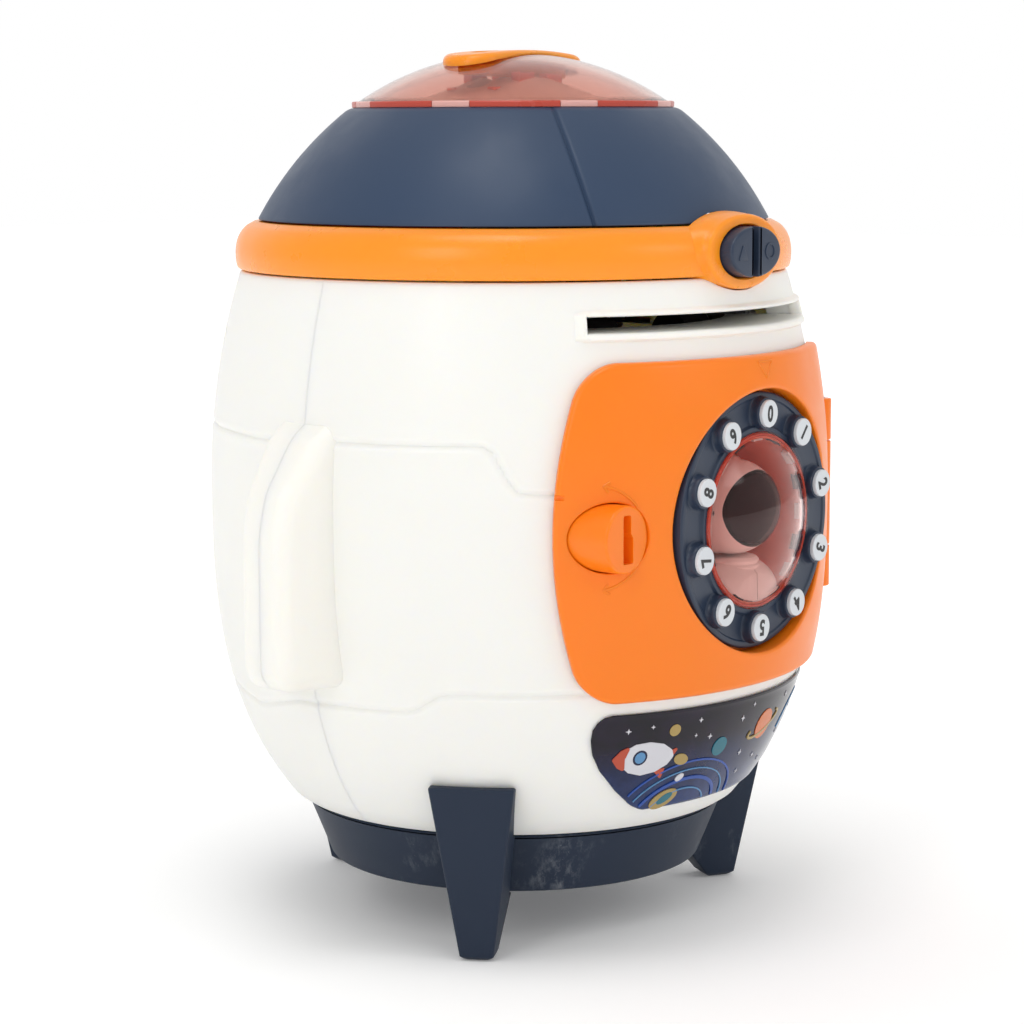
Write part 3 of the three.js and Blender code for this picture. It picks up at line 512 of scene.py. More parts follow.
def shell_relief(degrees, z):
    """How far the shells' outer surface stands off the plain capsule."""
    degrees = (degrees + 180) % 360 - 180
    relief = np.zeros(np.broadcast(degrees, z).shape)
    for line in (UPPER_GROOVE, LOWER_GROOVE):
        gap = distance_to_line(degrees, z, line)
        relief -= GROOVE_DEPTH * np.exp(-((gap / GROOVE_HALF_WIDTH) ** 2))
        relief += 0.12 * np.exp(-(((gap - 1.6) / 0.8) ** 2))
    arc = np.abs(degrees) * math.pi / 180 * ARC_R
    middle = (RIM_Z[0] + RIM_Z[1]) / 2
    beyond = np.hypot(
        np.maximum(arc - math.radians(RIM_HALF_ANGLE) * ARC_R + 2, 0),
        np.maximum(np.abs(z - middle) - (RIM_Z[1] - RIM_Z[0]) / 2 + 2, 0),
    ) - 2
    return relief + RIM_PROUD * (1 - smoothstep(-0.5, 0.5, beyond))


def spaced(*stretches):
    """Places from (start, end, step) stretches that follow each other."""
    places = []
    for start, end, step in stretches:
        count = max(1, round(abs(end - start) / step))
        places += list(np.linspace(start, end, count, endpoint=False))
    return np.array(places + [stretches[-1][1]])


def shell_grid(columns):
    heights = spaced((33.6, 60, 3.2), (60, 75, 0.42), (75, 121, 3.2), (121, 137.5, 0.42),
                     (137.5, 159.5, 3), (159.5, 169.5, 0.35), (169.5, 174.3, 1.2))
    flange = [(54.0, 31.8), (57.6, 31.8), (58.9, 31.95), (59.9, 32.4), (60.5, 33.0)]
    inner_flange = [(54.0, 34.2), (56.6, 34.2), (57.2, 34.3), (57.7, 34.6), (58.2, 35.0)]
    lip = [(-0.05, 174.8), (-0.3, 175.15), (-0.8, 175.3)]
    degrees, z = np.meshgrid(columns, heights)
    radius = body_radius(z) + shell_relief(degrees, z)
    edge = np.minimum(columns - columns.min(), columns.max() - columns)
    chamfer = np.interp(edge, [0, 0.13, 0.3], [-0.09, -0.03, 0])
    rings = [np.full(len(columns), r) for r, _ in flange]
    rings += list(radius) + [body_radius(h) + np.full(len(columns), o) for o, h in lip]
    outer_r = np.array(rings) + chamfer
    outer_z = np.array([h for _, h in flange] + list(heights) + [h for _, h in lip])
    inner_r = [r for r, _ in inner_flange]
    inner_z = [h for _, h in inner_flange]
    for h in heights:
        inner_z.append(max(h, 35.2 + 0.3 * (h - 33.6)))
        inner_r.append(float(body_radius(inner_z[-1])) - WALL)
    for o, h in lip:
        inner_z.append(h)
        inner_r.append(float(body_radius(h)) - WALL - 0.1)
    turn = radians(columns)
    outer = np.stack([outer_r * np.sin(turn), -outer_r * np.cos(turn),
                      np.broadcast_to(outer_z[:, None], outer_r.shape)], -1)
    inner_r, inner_z = np.array(inner_r)[:, None], np.array(inner_z)[:, None]
    inner = np.stack([inner_r * np.sin(turn), -inner_r * np.cos(turn),
                      np.broadcast_to(inner_z, outer_r.shape)], -1)
    return outer, inner


FIN_EDGE = 4.2                 # rounding along the fin's long edges


def fin(side, front):
    """Half of a side fin, with heavily rounded edges, cut at the seam plane."""
    corners = fillet([
        (74, 141, 0), (80.6, 139.8, 4), (86.6, 135.6, 12), (96.2, 122.6, 16), (FIN_CREST, 112, 22),
        (FIN_CREST, 72.9, 7), (74, 71.9, 0),
    ], 7)
    outline = []
    for (u0, v0), (u1, v1) in zip(corners, corners[1:] + corners[:1]):
        count = max(1, int(math.hypot(u1 - u0, v1 - v0) / 2.5))
        outline += [(u0 + (u1 - u0) * i / count, v0 + (v1 - v0) * i / count) for i in range(count)]
    if points_area(outline) < 0:
        outline.reverse()
    layers = []
    for inset, off_seam in ((0.07, 0.01), (0.0, 0.1)):
        ring = offset_outline(outline, inset)
        layers.append(np.column_stack([ring[:, 0] * side, SEAM_Y - np.full(len(ring), off_seam) * front,
                                       ring[:, 1]]))
    for a in np.linspace(0, math.pi / 2, 9):
        ring = offset_outline(outline, FIN_EDGE * (1 - math.cos(a)))
        half = np.interp(ring[:, 0], [78, FIN_CREST], [10.9, 7.6]) - FIN_EDGE * (1 - math.sin(a))
        layers.append(np.column_stack([ring[:, 0] * side, SEAM_Y - half * front, ring[:, 1]]))
    count = len(outline)
    faces = grid_faces(len(layers), count, closed=True)
    faces.append(tuple(range(count)))
    faces.append(tuple(range((len(layers) - 1) * count, len(layers) * count)))
    return tidy_mesh(new_piece("fin", np.concatenate(layers), faces))


def points_area(points):
    p = np.array(points)
    q = np.roll(p, -1, 0)
    return float(np.sum(p[:, 0] * q[:, 1] - q[:, 0] * p[:, 1])) / 2


def door_distance(arc, z, inset=0.0):
    """Distance inside the door's outline, along the body; negative outside."""
    d = np.abs(z - DOOR_Z)
    across = np.abs(arc) + DOOR_SIDE_R - np.sqrt(DOOR_SIDE_R ** 2 - np.minimum(d, 60) ** 2)
    half_w, half_h = DOOR_HALF[0] - inset, DOOR_HALF[1] - inset
    q = np.stack([across - half_w + DOOR_CORNER, d - half_h + DOOR_CORNER])
    outside = np.hypot(np.maximum(q[0], 0), np.maximum(q[1], 0))
    return DOOR_CORNER - outside - np.minimum(np.maximum(q[0], q[1]), 0)


def door_half_width(z, inset=0.0):
    d = np.abs(z - DOOR_Z)
    straight = DOOR_HALF[1] - inset - DOOR_CORNER
    side = DOOR_HALF[0] - inset - DOOR_SIDE_R + np.sqrt(DOOR_SIDE_R ** 2 - d ** 2)
    turn = np.clip(d - straight, 0, DOOR_CORNER)
    return side - DOOR_CORNER + np.sqrt(DOOR_CORNER ** 2 - turn ** 2)


def pad_solid(name, inset, inner, outer, columns=60):
    """A plain pad with the door's outline, as a cutter."""
    half_h = DOOR_HALF[1] - inset
    corner = half_h - DOOR_CORNER + DOOR_CORNER * np.sin(np.linspace(0, math.pi / 2, 9))
    upper = np.concatenate([np.linspace(0, half_h - DOOR_CORNER, 12, endpoint=False)[1:], corner])
    z = DOOR_Z + np.concatenate([-upper[::-1], [0], upper])
    share = np.linspace(-1, 1, columns)
    arc = door_half_width(z, inset)[:, None] * share
    zz = np.broadcast_to(z[:, None], arc.shape)
    return grid_solid(name, on_body(arc, zz, outer), on_body(arc, zz, inner))


def bar_tool(r, centre, low, high, turn=FACING_FRONT, steps=48):
    outline = [(0, low), (r, low), (r, high), (0, high)]
    return lathe("tool", outline, turn, centre, steps)


def boss_tool(grow):
    return rounded_prism("tool", ellipse((16.5 + grow, 9.6 + grow)), 60, 90, 0.01, FACING_FRONT,
                         (0, 0, BOSS_Z))


def slot_tool():
    """The banknote slot's cutter, its mouth flared in a small radius."""
    half = math.radians(SLOT_HALF_ANGLE) * ARC_R
    depth = [-8, 0.2, 0.75, 1.15, 1.3, 4]
    flare = [0, 0, 0.12, 0.4, 0.75, 1.2]
    share = np.linspace(-1, 1, 70)
    layers = []
    for offset, grow in zip(depth, flare):
        ring = [(s * (half + grow), SLOT_Z[0] - grow) for s in share]
        ring += [(s * (half + grow), SLOT_Z[1] + grow) for s in share[::-1]]
        ring = np.array(ring)
        layers.append(on_body(ring[:, 0], ring[:, 1], offset))
    count = len(layers[0])
    faces = grid_faces(len(layers), count, closed=True)
    half_count = count // 2
    for top in (0, (len(layers) - 1) * count):
        for i in range(half_count - 1):
            faces.append((top + i, top + i + 1, top + count - 2 - i, top + count - 1 - i))
    return tidy_mesh(new_piece("tool", np.concatenate(layers), faces))


SCREW_WELLS = ((-50, 58), (50, 58), (-56, 158), (56, 158))
SPEAKER_Z = 112


def build_front_shell():
    fine = spaced((SEAM, 0.5, 0.12), (0.5, 16, 2.2), (16, 31, 0.5), (31, 35, 1.2), (35, 49, 0.6),
                  (49, 57, 1.4), (57, SEAM_ANGLE, 1.8))
    columns = np.concatenate([fine - SEAM_ANGLE, SEAM_ANGLE - fine[::-1][1:]])
    shell = grid_solid("front_shell_body", *shell_grid(columns))
    carve(shell, slot_tool(), pad_solid("tool", OPENING_INSET, -12, 8), boss_tool(0.35),
          bar_tool(LATCH_R + 2.2, (LATCH[0], 0, LATCH[1]), 59.9, 90))
    weld(shell, fin(1, 1), fin(-1, 1))
    return dress(shell, "housing", "cream_plastic", cream, "front_shell", smooth=28)


def build_rear_shell():
    fine = spaced((SEAM, 0.5, 0.12), (0.5, 5, 1.2), (5, 37, 0.9), (37, 180 - SEAM_ANGLE, 2.0))
    columns = np.concatenate([fine + SEAM_ANGLE, 360 - SEAM_ANGLE - fine[::-1][1:]])
    shell = grid_solid("rear_shell_body", *shell_grid(columns))
    for x, z in SCREW_WELLS:
        post = bar_tool(5, (x, 0, z), 8, 70, FACING_BACK, 32)
        room = lathe("tool",
                     [(0, 30)] + [(float(body_radius(h)) - 1, h) for h in np.linspace(30, 174, 60)] + [(0,
                             174)])
        weld(shell, combine(post, room, "INTERSECT"))
    for x, z in SCREW_WELLS:
        carve(shell, bar_tool(3.4, (x, 0, z), 10, 100, FACING_BACK, 32),
              bar_tool(1.6, (x, 0, z), 0, 20, FACING_BACK, 16))
    for d in (-12, -6, 0, 6, 12):
        half = math.sqrt(256 - d * d)
        outline = fillet([(-half, -1, 0.95), (half, -1, 0.95), (half, 1, 0.95), (-half, 1, 0.95)], 5)
        carve(shell, rounded_prism("tool", outline, 60, 100, 0.01, FACING_BACK, (0, 0, SPEAKER_Z + d)))
    weld(shell, fin(1, -1), fin(-1, -1))
    return dress(shell, "housing", "cream_plastic", cream, "rear_shell", smooth=28)


def build_slot_lips():
    """The flat lips and end walls that lead a banknote in behind the slot."""
    half = math.radians(SLOT_HALF_ANGLE) * ARC_R
    share = np.linspace(-1, 1, 50)
    for name, z0, z1 in (("slot_lip_lower", SLOT_Z[0] - 1.6, SLOT_Z[0] - 0.05),
                         ("slot_lip_upper", SLOT_Z[1] + 0.05, SLOT_Z[1] + 1.5)):
        arc, z = np.meshgrid((half + 1.5) * share, [z0, z1])
        lip = grid_solid(name, on_body(arc, z, -1.2),
                         on_body(arc, z, -20 if name == "slot_lip_lower" else -8.5))
        dress(lip, "housing", "cream_plastic", cream)
    for name, side in (("slot_end_left", -1), ("slot_end_right", 1)):
        arc, z = np.meshgrid(np.array([half + 0.1, half + 1.5]) * side, [SLOT_Z[0] - 0.1, SLOT_Z[1] + 0.1])
        lip = grid_solid(name, on_body(arc, z, -1.2), on_body(arc, z, -8.5))
        dress(lip, "housing", "cream_plastic", cream)


build_front_shell()
build_rear_shell()
build_slot_lips()

# ------------------------------------------------------------------ base ring, legs, battery bay
RING = ((13.9, 50.7), (31.4, 57.7))         # (height, radius) of its lower and upper edge
COVER_HALF = (24.0, 28.5)
LEG_ANGLES = (("leg_left", -60), ("leg_right", 60), ("leg_rear", 180))


def rectangle(half, centre=(0, 0), corner=1.0, steps=5):
    (a, b), (u, v) = half, centre
    return fillet([(u - a, v - b, corner), (u + a, v - b, corner), (u + a, v + b, corner),
                   (u - a, v + b, corner)], steps)


def build_base_ring():
    (z0, r0), (z1, r1) = RING
    outline = fillet([
        (r0, z0, 1.4), (r1, z1, 0.7), (r1 - WALL, z1, 0.5), (r0 - WALL, z0 + WALL, 1.0),
    ])
    start = outline.index(max(outline, key=lambda p: (p[1] < z0 + 0.01, p[0])))
    outline = outline[start:] + outline[:start]
    # the floor closes the ring: the outline's lowest and innermost points reach in to the axis
    lower = [p for p in outline if p[1] < z0 + 0.02]
    wall = [p for p in outline if p[1] >= z0 + 0.02]
    outline = [(0, z0)] + sorted(lower, key=lambda p: p[0])[:1] + wall + [(0, z0 + WALL)]
    ring = lathe("base_ring_body", outline, steps=128)
    mouth = rounded_prism("tool", rectangle(COVER_HALF, corner=1.5), 5, 20, 0.01)
    carve(ring, mouth, lathe("tool", [(0, 5), (4.4, 5), (4.4, 20), (0, 20)], centre=(0, 31, 0), steps=32))
    return dress(ring, "housing", "navy_plastic", navy_shaded_scuffed, "base_ring", smooth=30)


def build_leg(node, degrees):
    """A tapering leg: flat faces with softly rounded edges, hollowed to sit against body and ring."""
    levels = spaced((0, 1.6, 0.2), (1.6, 46.4, 2.6), (46.4, 47.3, 0.1))
    outer = np.interp(levels, [0, 1.2, 47.3], [64.6, 66.0, 73.4])
    inner = np.interp(levels, [0, 1.2, 15, 47.3], [58.5, 57, 46, 46])
    half = np.interp(levels, [0, 1.2, 47.3], [3.3, 4.5, 11.2])
    layers = []
    for z, far, near, wide in zip(levels, outer, inner, half):
        end = 0.7 - math.sqrt(max(0.0, 0.7 ** 2 - max(0.0, z - 46.6) ** 2))
        end += 0.9 - math.sqrt(max(0.0, 0.9 ** 2 - max(0.0, 0.9 - z) ** 2))
        corner = 0.9
        ring = fillet([
            (-wide + end, -near, 0.6), (-wide + end, -far + end, corner),
            (wide - end, -far + end, corner), (wide - end, -near, 0.6),
        ], 5)
        layers.append(np.column_stack([np.array(ring), np.full(len(ring), z)]))
    count = len(layers[0])
    faces = grid_faces(len(layers), count, closed=True)
    faces += [tuple(reversed(range(count))), tuple(range((len(layers) - 1) * count, len(layers) * count))]
    turn = Matrix.Rotation(math.radians(degrees), 4, "Z")
    leg = tidy_mesh(new_piece(node + "_body", placed(np.concatenate(layers), turn, (0, 0, 0)), faces))
    heights = np.linspace(31.5, 50, 16)
    rest = [(0, 31.5)] + [(float(body_radius(h)) + 0.3, h) for h in heights] + [(0, 50)]
    slope = (RING[1][1] - RING[0][1]) / (RING[1][0] - RING[0][0])
    seat = [(0, 13.6), (RING[0][1] + 0.3, 13.6), (RING[1][1] + 0.3 + slope * 1.4, 32.8), (0, 32.8)]
    carve(leg, lathe("tool", rest, steps=180), lathe("tool", seat, steps=180))
    return dress(leg, "housing", "navy_plastic", navy_shaded_scuffed, node, smooth=30)


def build_battery_cover():
    plate = rounded_prism("battery_cover_plate", rectangle((23.7, 28.2), corner=1.2), 14.0, 15.9, 0.4)
    weld(plate,
         lathe("tongue", [(0, 14.0), (3.7, 14.0), (4.1, 14.4), (4.1, 15.9), (0, 15.9)], centre=(0, 31, 0)))
    carve(plate, lathe("tool", [(0, 10), (2.7, 10), (2.7, 15), (0, 15)], centre=(0, 31, 0), steps=40),
          lathe("tool", [(0, 10), (1.5, 10), (1.5, 20), (0, 20)], centre=(0, 31, 0), steps=24))
    for y in (-22, -18, -14):
        carve(plate, rounded_prism("tool", rectangle((9, 0.7), (0, y), 0.6), 10, 14.5, 0.01))
    return dress(plate, "housing", "navy_plastic", navy_shaded_scuffed, "battery_cover", smooth=30)


build_base_ring()
for node, degrees in LEG_ANGLES:
    build_leg(node, degrees)
build_battery_cover()

# ------------------------------------------------------------------ collar, buttons
BOSS_HALF = (16.5, 9.6)
BOSS_FACE = 76.2


def smooth_curve(points, count):
    """Evenly many points on a Catmull-Rom curve through the given points."""
    p = [np.array(q, float) for q in points]
    p = [2 * p[0] - p[1]] + p + [2 * p[-1] - p[-2]]
    curve = []
    for i in range(1, len(p) - 2):
        for t in np.linspace(0, 1, count, endpoint=False):
            a = 2 * p[i]
            b = p[i + 1] - p[i - 1]
            c = 2 * p[i - 1] - 5 * p[i] + 4 * p[i + 1] - p[i + 2]
            d = -p[i - 1] + 3 * p[i] - 3 * p[i + 1] + p[i + 2]
            curve.append(tuple(0.5 * (a + b * t + c * t * t + d * t ** 3)))
    return curve + [tuple(p[-2])]


def build_collar():
    outside = smooth_curve([(73.9, 175.72), (74.7, 176.2), (75.15, 178), (75.2, 181), (74.5, 184.1),
                            (72.7, 186.8), (70.2, 188.35)], 5)
    outline = [(71.6, 175.7)] + outside + [(69.3, 188.4), (67.2, 188.4), (69.8, 182)]
    collar = lathe("collar_band", outline, steps=200)
    layers = []
    for y, grow_x, grow_z in ((68.8, 3.2, 0.6), (70.5, 3.0, 0.55), (72.2, 2.0, 0.35), (73.6, 0.8, 0.12),
                              (74.6, 0.1, 0), (75.2, 0, 0), (75.6, -0.12, -0.12), (75.95, -0.4, -0.4),
                              (BOSS_FACE - 0.08, -0.8, -0.8), (BOSS_FACE, -1.3, -1.3)):
        ring = ellipse((BOSS_HALF[0] + grow_x, BOSS_HALF[1] + grow_z), steps=96)
        layers.append(np.column_stack([ring, np.full(len(ring), y)]))
    faces = grid_faces(len(layers), 96, closed=True)
    faces += [tuple(reversed(range(96))), tuple(range((len(layers) - 1) * 96, len(layers) * 96))]
    boss = tidy_mesh(new_piece("boss", placed(np.concatenate(layers), FACING_FRONT, (0, 0, BOSS_Z)), faces))
    weld(collar, boss)
    flare = []
    for y, grow in ((60, 0), (BOSS_FACE - 0.7, 0), (BOSS_FACE - 0.35, 0.08), (BOSS_FACE - 0.1, 0.32),
                    (90, 0.9)):
        ring = ellipse((11.5 + grow, 6.9 + grow), steps=80)
        flare.append(np.column_stack([ring, np.full(80, y)]))
    faces = grid_faces(len(flare), 80, closed=True)
    faces += [tuple(reversed(range(80))), tuple(range((len(flare) - 1) * 80, len(flare) * 80))]
    carve(collar,
          tidy_mesh(new_piece("tool", placed(np.concatenate(flare), FACING_FRONT, (0, 0, BOSS_Z)), faces)))
    return dress(collar, "housing", "orange_plastic", collar_orange_lit, "collar_ring", smooth=30)


def build_button(node, side, body):
    """Half of the oval push button, its rim well rounded, with a raised generic mark."""
    a, b = BUTTON_HALF
    t = np.linspace(-math.pi / 2, math.pi / 2, 41)
    oval = [(side * a * math.cos(v), b * math.sin(v)) for v in t if a * math.cos(v) > BUTTON_SPLIT + 0.1]
    edge = b * math.sqrt(1 - (BUTTON_SPLIT / a) ** 2)
    split = side * BUTTON_SPLIT
    outline = fillet([(split, -edge, 0.5)] + [(u, v, 0) for u, v in oval] + [(split, edge, 0.5)], 4)
    if points_area(outline) < 0:
        outline.reverse()
    piece = rounded_prism(node + "_cap", outline, 65.6, 79.6, 0.75, FACING_FRONT, (0, 0, BOSS_Z), both=False,
                          steps=6)
    if side < 0:
        mark = fillet([(-8.2, -2.0, 0.3), (-4.2, -2.0, 0.3), (-6.2, 2.2, 0.3)], 3)
        weld(piece, rounded_prism("mark", mark, 79.3, 79.85, 0.15, FACING_FRONT, (0, 0, BOSS_Z)))
    else:
        ring = [(1.6, 79.3), (2.2, 79.3), (2.2, 79.75), (2.1, 79.85), (1.7, 79.85), (1.6, 79.75)]
        weld(piece, lathe("mark", ring, FACING_FRONT, (6.0, 0, BOSS_Z), 36))
    return dress(piece, body, "navy_plastic", button_navy, node, smooth=40)


build_collar()
build_button("left_button", -1, "button_left")
build_button("right_button", 1, "button_right")

# ------------------------------------------------------------------ navy dome, clear dome, coin saddle, deck
DOME_Z = (188.8, 218.4)
DOME_GROOVES = (-36, 36, 145, -145)         # degrees from the front at mid height
CLEAR_R = 73.5
CLEAR_Z = 159.6
SADDLE_HALF = (24.6, 8.5)
SADDLE_TOP = 233.7
SADDLE_TOP_R = 169.0


def dome_radius(z):
    return -11.96 + np.sqrt(91.65 ** 2 - (np.asarray(z, float) - 146.2) ** 2)


def groove_turn(line):
    """Which way a crease leans: outwards at the top for the front pair, inwards for the rear pair."""
    return math.copysign(1, line if abs(line) < 90 else -line)


def build_dome():
    near = np.array([-4, -3, -2.2, -1.5, -1.0, -0.7, -0.45, -0.3, -0.15, 0, 0.15, 0.3, 0.45, 0.7, 1.0, 1.5,
                     2.2, 3, 4])
    columns = np.unique(np.concatenate([np.arange(-180, 180, 2.0)] + [near + g for g in DOME_GROOVES]))
    columns = columns[columns < 179.99]
    lines = sorted(DOME_GROOVES)
    lean = 4 * np.interp(columns, lines, [groove_turn(line) for line in lines], period=360)

    def ring(radius, height):
        """A ring whose points lean with the creases."""
        share = (height - DOME_Z[0]) / (DOME_Z[1] - DOME_Z[0])
        turn = radians(columns + lean * (share - 0.5))
        return np.column_stack([radius * np.sin(turn), -radius * np.cos(turn), np.full(len(turn), height)])

    rings = []
    for height in spaced((188.8, 189.6, 0.2), (189.6, 217.2, 1.2), (217.2, 218.4, 0.15)):
        relief = np.zeros(len(columns))
        for line in DOME_GROOVES:
            arc = (columns - line) * math.pi / 180 * dome_radius(height)
            relief -= 0.6 * np.exp(-((arc / 0.42) ** 2))
            inner_side = arc * groove_turn(line) > 0
            relief -= 0.55 * np.where(inner_side, np.exp(-((arc / 9.0) ** 2)), np.exp(-((arc / 0.6) ** 2)))
        foot = 0.5 * (1 - math.sqrt(1 - np.clip((189.3 - height) / 0.5, 0, 1) ** 2))
        head = 1.1 * (1 - math.sqrt(1 - np.clip((height - 217.3) / 1.1, 0, 1) ** 2))
        rings.append(ring(dome_radius(height) + relief - foot - head, height))
    for radius, height in ((39.6, 218.4), (38.7, 218.3), (38.3, 217.9), (38.3, 216.0)):
        rings.append(ring(np.full(len(columns), radius), height))
    for height in np.linspace(216.0, 188.8, 14):
        rings.append(ring(np.full(len(columns), float(dome_radius(height)) - 2.8), height))
    count = len(columns)
    faces = grid_faces(len(rings), count, closed=True)
    last = (len(rings) - 1) * count
    faces += [(last + i, last + (i + 1) % count, (i + 1) % count, i) for i in range(count)]
    dome = tidy_mesh(new_piece("dome_cap", np.concatenate(rings), faces))
    carve(dome, boss_tool(0.5))
    return dress(dome, "housing", "navy_plastic", navy, "dome_shell", smooth=30)


def sphere_height(r, radius=CLEAR_R):
    return CLEAR_Z + math.sqrt(radius ** 2 - r ** 2)


RIM_LOW, RIM_HIGH = 218.42, 220.1


def build_clear_dome():
    edge = math.sqrt(CLEAR_R ** 2 - (RIM_HIGH - CLEAR_Z) ** 2)
    outer = [(edge * math.cos(a), sphere_height(edge * math.cos(a))) for a in np.linspace(0, math.pi / 2, 28)]
    outer[-1] = (0, sphere_height(0))
    foot = [(40.6, RIM_LOW), (42.5, RIM_LOW), (42.55, RIM_HIGH - 0.1), (42.45, RIM_HIGH)]
    inner = [(r, sphere_height(r, CLEAR_R - 1.6)) for r in np.linspace(0.0, 40.2, 26)]
    piece = lathe("clear_dome_shell", foot + outer + inner, steps=160)
    carve(piece, rounded_prism("tool", rectangle((19.6, 5.1), corner=2.0), 222, 240, 0.01))
    dress(piece, "housing", "clear_red", clear_red, "clear_dome", smooth=30)
    # the coloured edge band: long red stretches between short pale ones
    for i in range(16):
        start, end = (24, 55) if i % 2 == 0 else (55.2, 68.8)
        start, end = start + 45 * (i // 2), end + 45 * (i // 2)
        turn = radians(np.linspace(start, end, 16))
        rings = []
        for r, z in ((42.9, RIM_LOW), (43.45, RIM_LOW + 0.1), (43.5, RIM_HIGH - 0.35),
                     (43.3, RIM_HIGH - 0.08), (42.9, RIM_HIGH)):
            rings.append(np.column_stack([r * np.sin(turn), -r * np.cos(turn), np.full(16, z)]))
        outside = np.array(rings)
        inside = outside.copy()
        inside[:, :, 0] *= 42.7 / np.hypot(outside[:, :, 0], outside[:, :, 1])
        inside[:, :, 1] *= 42.7 / np.hypot(outside[:, :, 0], outside[:, :, 1])
        band = grid_solid(f"dome_band_{i}", outside, inside)
        dress(band, "housing", "clear_red", deep_red if i % 2 == 0 else pale_pink)


def build_saddle():
    """The coin slot's raised surround: a long rounded plate that follows the dome below it."""
    a, b = SADDLE_HALF
    half = np.linspace(-math.pi / 2, math.pi / 2, 25)
    loop = [(a - b + b * math.cos(t), b * math.sin(t)) for t in half]
    straight = np.linspace(a - b, b - a, 16)[1:-1]
    loop += [(x, b) for x in straight]
    loop += [(-x, -y) for x, y in loop[:25]] + [(-x, -b) for x in straight]
    edge = 1.9
    insets = [edge * (1 - math.cos(t)) for t in np.linspace(0, math.pi / 2, 7)] + [3.4, 5.0, 6.6, 8.0]
    points = []
    for inset in reversed(insets):
        for u, v in offset_outline(loop, inset):
            points.append((u, v, sphere_height(math.hypot(u, v)) + 0.32))
    for inset in insets:
        drop = edge - math.sqrt(max(0.0, edge ** 2 - max(0.0, edge - inset) ** 2))
        for u, v in offset_outline(loop, inset):
            top = SADDLE_TOP - SADDLE_TOP_R + math.sqrt(SADDLE_TOP_R ** 2 - u ** 2)
            points.append((u, v, top - drop))
    count = len(loop)
    faces = grid_faces(2 * len(insets), count, closed=True)
    faces += [tuple(reversed(range(count))),
              tuple(range((2 * len(insets) - 1) * count, 2 * len(insets) * count))]
    saddle = tidy_mesh(new_piece("coin_saddle_plate", points, faces))
    weld(saddle, rounded_prism("stem", rectangle((18.8, 4.4), corner=1.8), 226.8, 232, 0.2))
    mouth = []
    for z, grow in ((220, 0), (232.6, 0), (233.1, 0.1), (233.45, 0.4), (233.8, 0.9), (236, 1.4)):
        ring = rectangle((16.2 + grow, 2.3 + grow), corner=1.9)
        mouth.append(np.column_stack([np.array(ring), np.full(len(ring), z)]))
    count = len(mouth[0])
    faces = grid_faces(len(mouth), count, closed=True)
    faces += [tuple(reversed(range(count))), tuple(range((len(mouth) - 1) * count, len(mouth) * count))]
    carve(saddle, tidy_mesh(new_piece("tool", np.concatenate(mouth), faces)))
    return dress(saddle, "housing", "orange_plastic", collar_orange_lit, "coin_saddle", smooth=35)


def build_deck():
    outline = fillet([
        (0, 225, 0), (9.5, 226.3, 1), (26, 220.2, 4), (37.6, 219.4, 0.6), (37.6, 215.9, 0.4),
        (35.6, 215.9, 0.4), (35.6, 217.6, 0.4), (25, 218, 2), (9, 224, 1), (0, 224, 0),
    ])
    deck = lathe("coin_deck_cone", outline, steps=96)
    chute = rounded_prism("chute", rectangle((18.4, 3.9), corner=2.2), 152, 221.6, 0.3)
    carve(deck, rounded_prism("tool", rectangle((17.4, 2.9), corner=1.6), 200, 240, 0.01))
    weld(deck, chute)
    carve(deck, rounded_prism("tool", rectangle((16.2, 2.3), corner=1.4), 100, 240, 0.01))
    dress(deck, "housing", "white_plastic", deck_pink, "coin_deck", smooth=30)
    for i, (x,
            y) in enumerate(((-14.5, -7), (-6, -8.2), (6, -8.2), (14.5, -7), (-14.5, 7), (-6, 8.2), (6, 8.2),
                             (14.5, 7))):
        rib = rounded_prism(f"deck_rib_{i}", rectangle((3.4, 1.5), (x, y), 0.5), 219.5,
                            228.2 - 0.045 * x * x / 2, 0.4)
        dress(rib, "housing", "clear_red", rib_red)


deck_pink = moulded("deck_plastic", (0.95, 0.84, 0.80), 0.4, 0.2, (1, 0.8, 0.7), grain=0.1)
deep_red = moulded("deep_red", (0.52, 0.06, 0.035), 0.3, grain=0.1)
rib_red = moulded("rib_red", (0.95, 0.25, 0.16), 0.3, 0.4, (1, 0.4, 0.3), grain=0.05)
pale_pink = moulded("pale_pink", (0.78, 0.40, 0.36), 0.3, 0.2, (1, 0.6, 0.5), grain=0.05)
build_dome()
build_clear_dome()
build_saddle()
build_deck()

# ------------------------------------------------------------------ label
LABEL_SHAPE = ((38, 21), (38.5, 22.4), (40, 25), (45, 29.8), (51, 34), (56, 36.1), (60, 36.7), (63, 36.5),
               (65, 35.6), (66.1, 34.4), (66.6, 32.8))


def label_half(z):
    return np.interp(z, *zip(*LABEL_SHAPE))


def label_point(u, v, lift):
    """A point u mm right of the label's middle and v mm above the ground, lift mm off the body."""
    r = float(body_radius(v))
    angle = u / 73.0
    slope = (float(body_radius(v + 0.5)) - float(body_radius(v - 0.5)))
    out = lift / math.sqrt(1 + slope * slope)
    return ((r + out) * math.sin(angle), -(r + out) * math.cos(angle), v - out * slope)


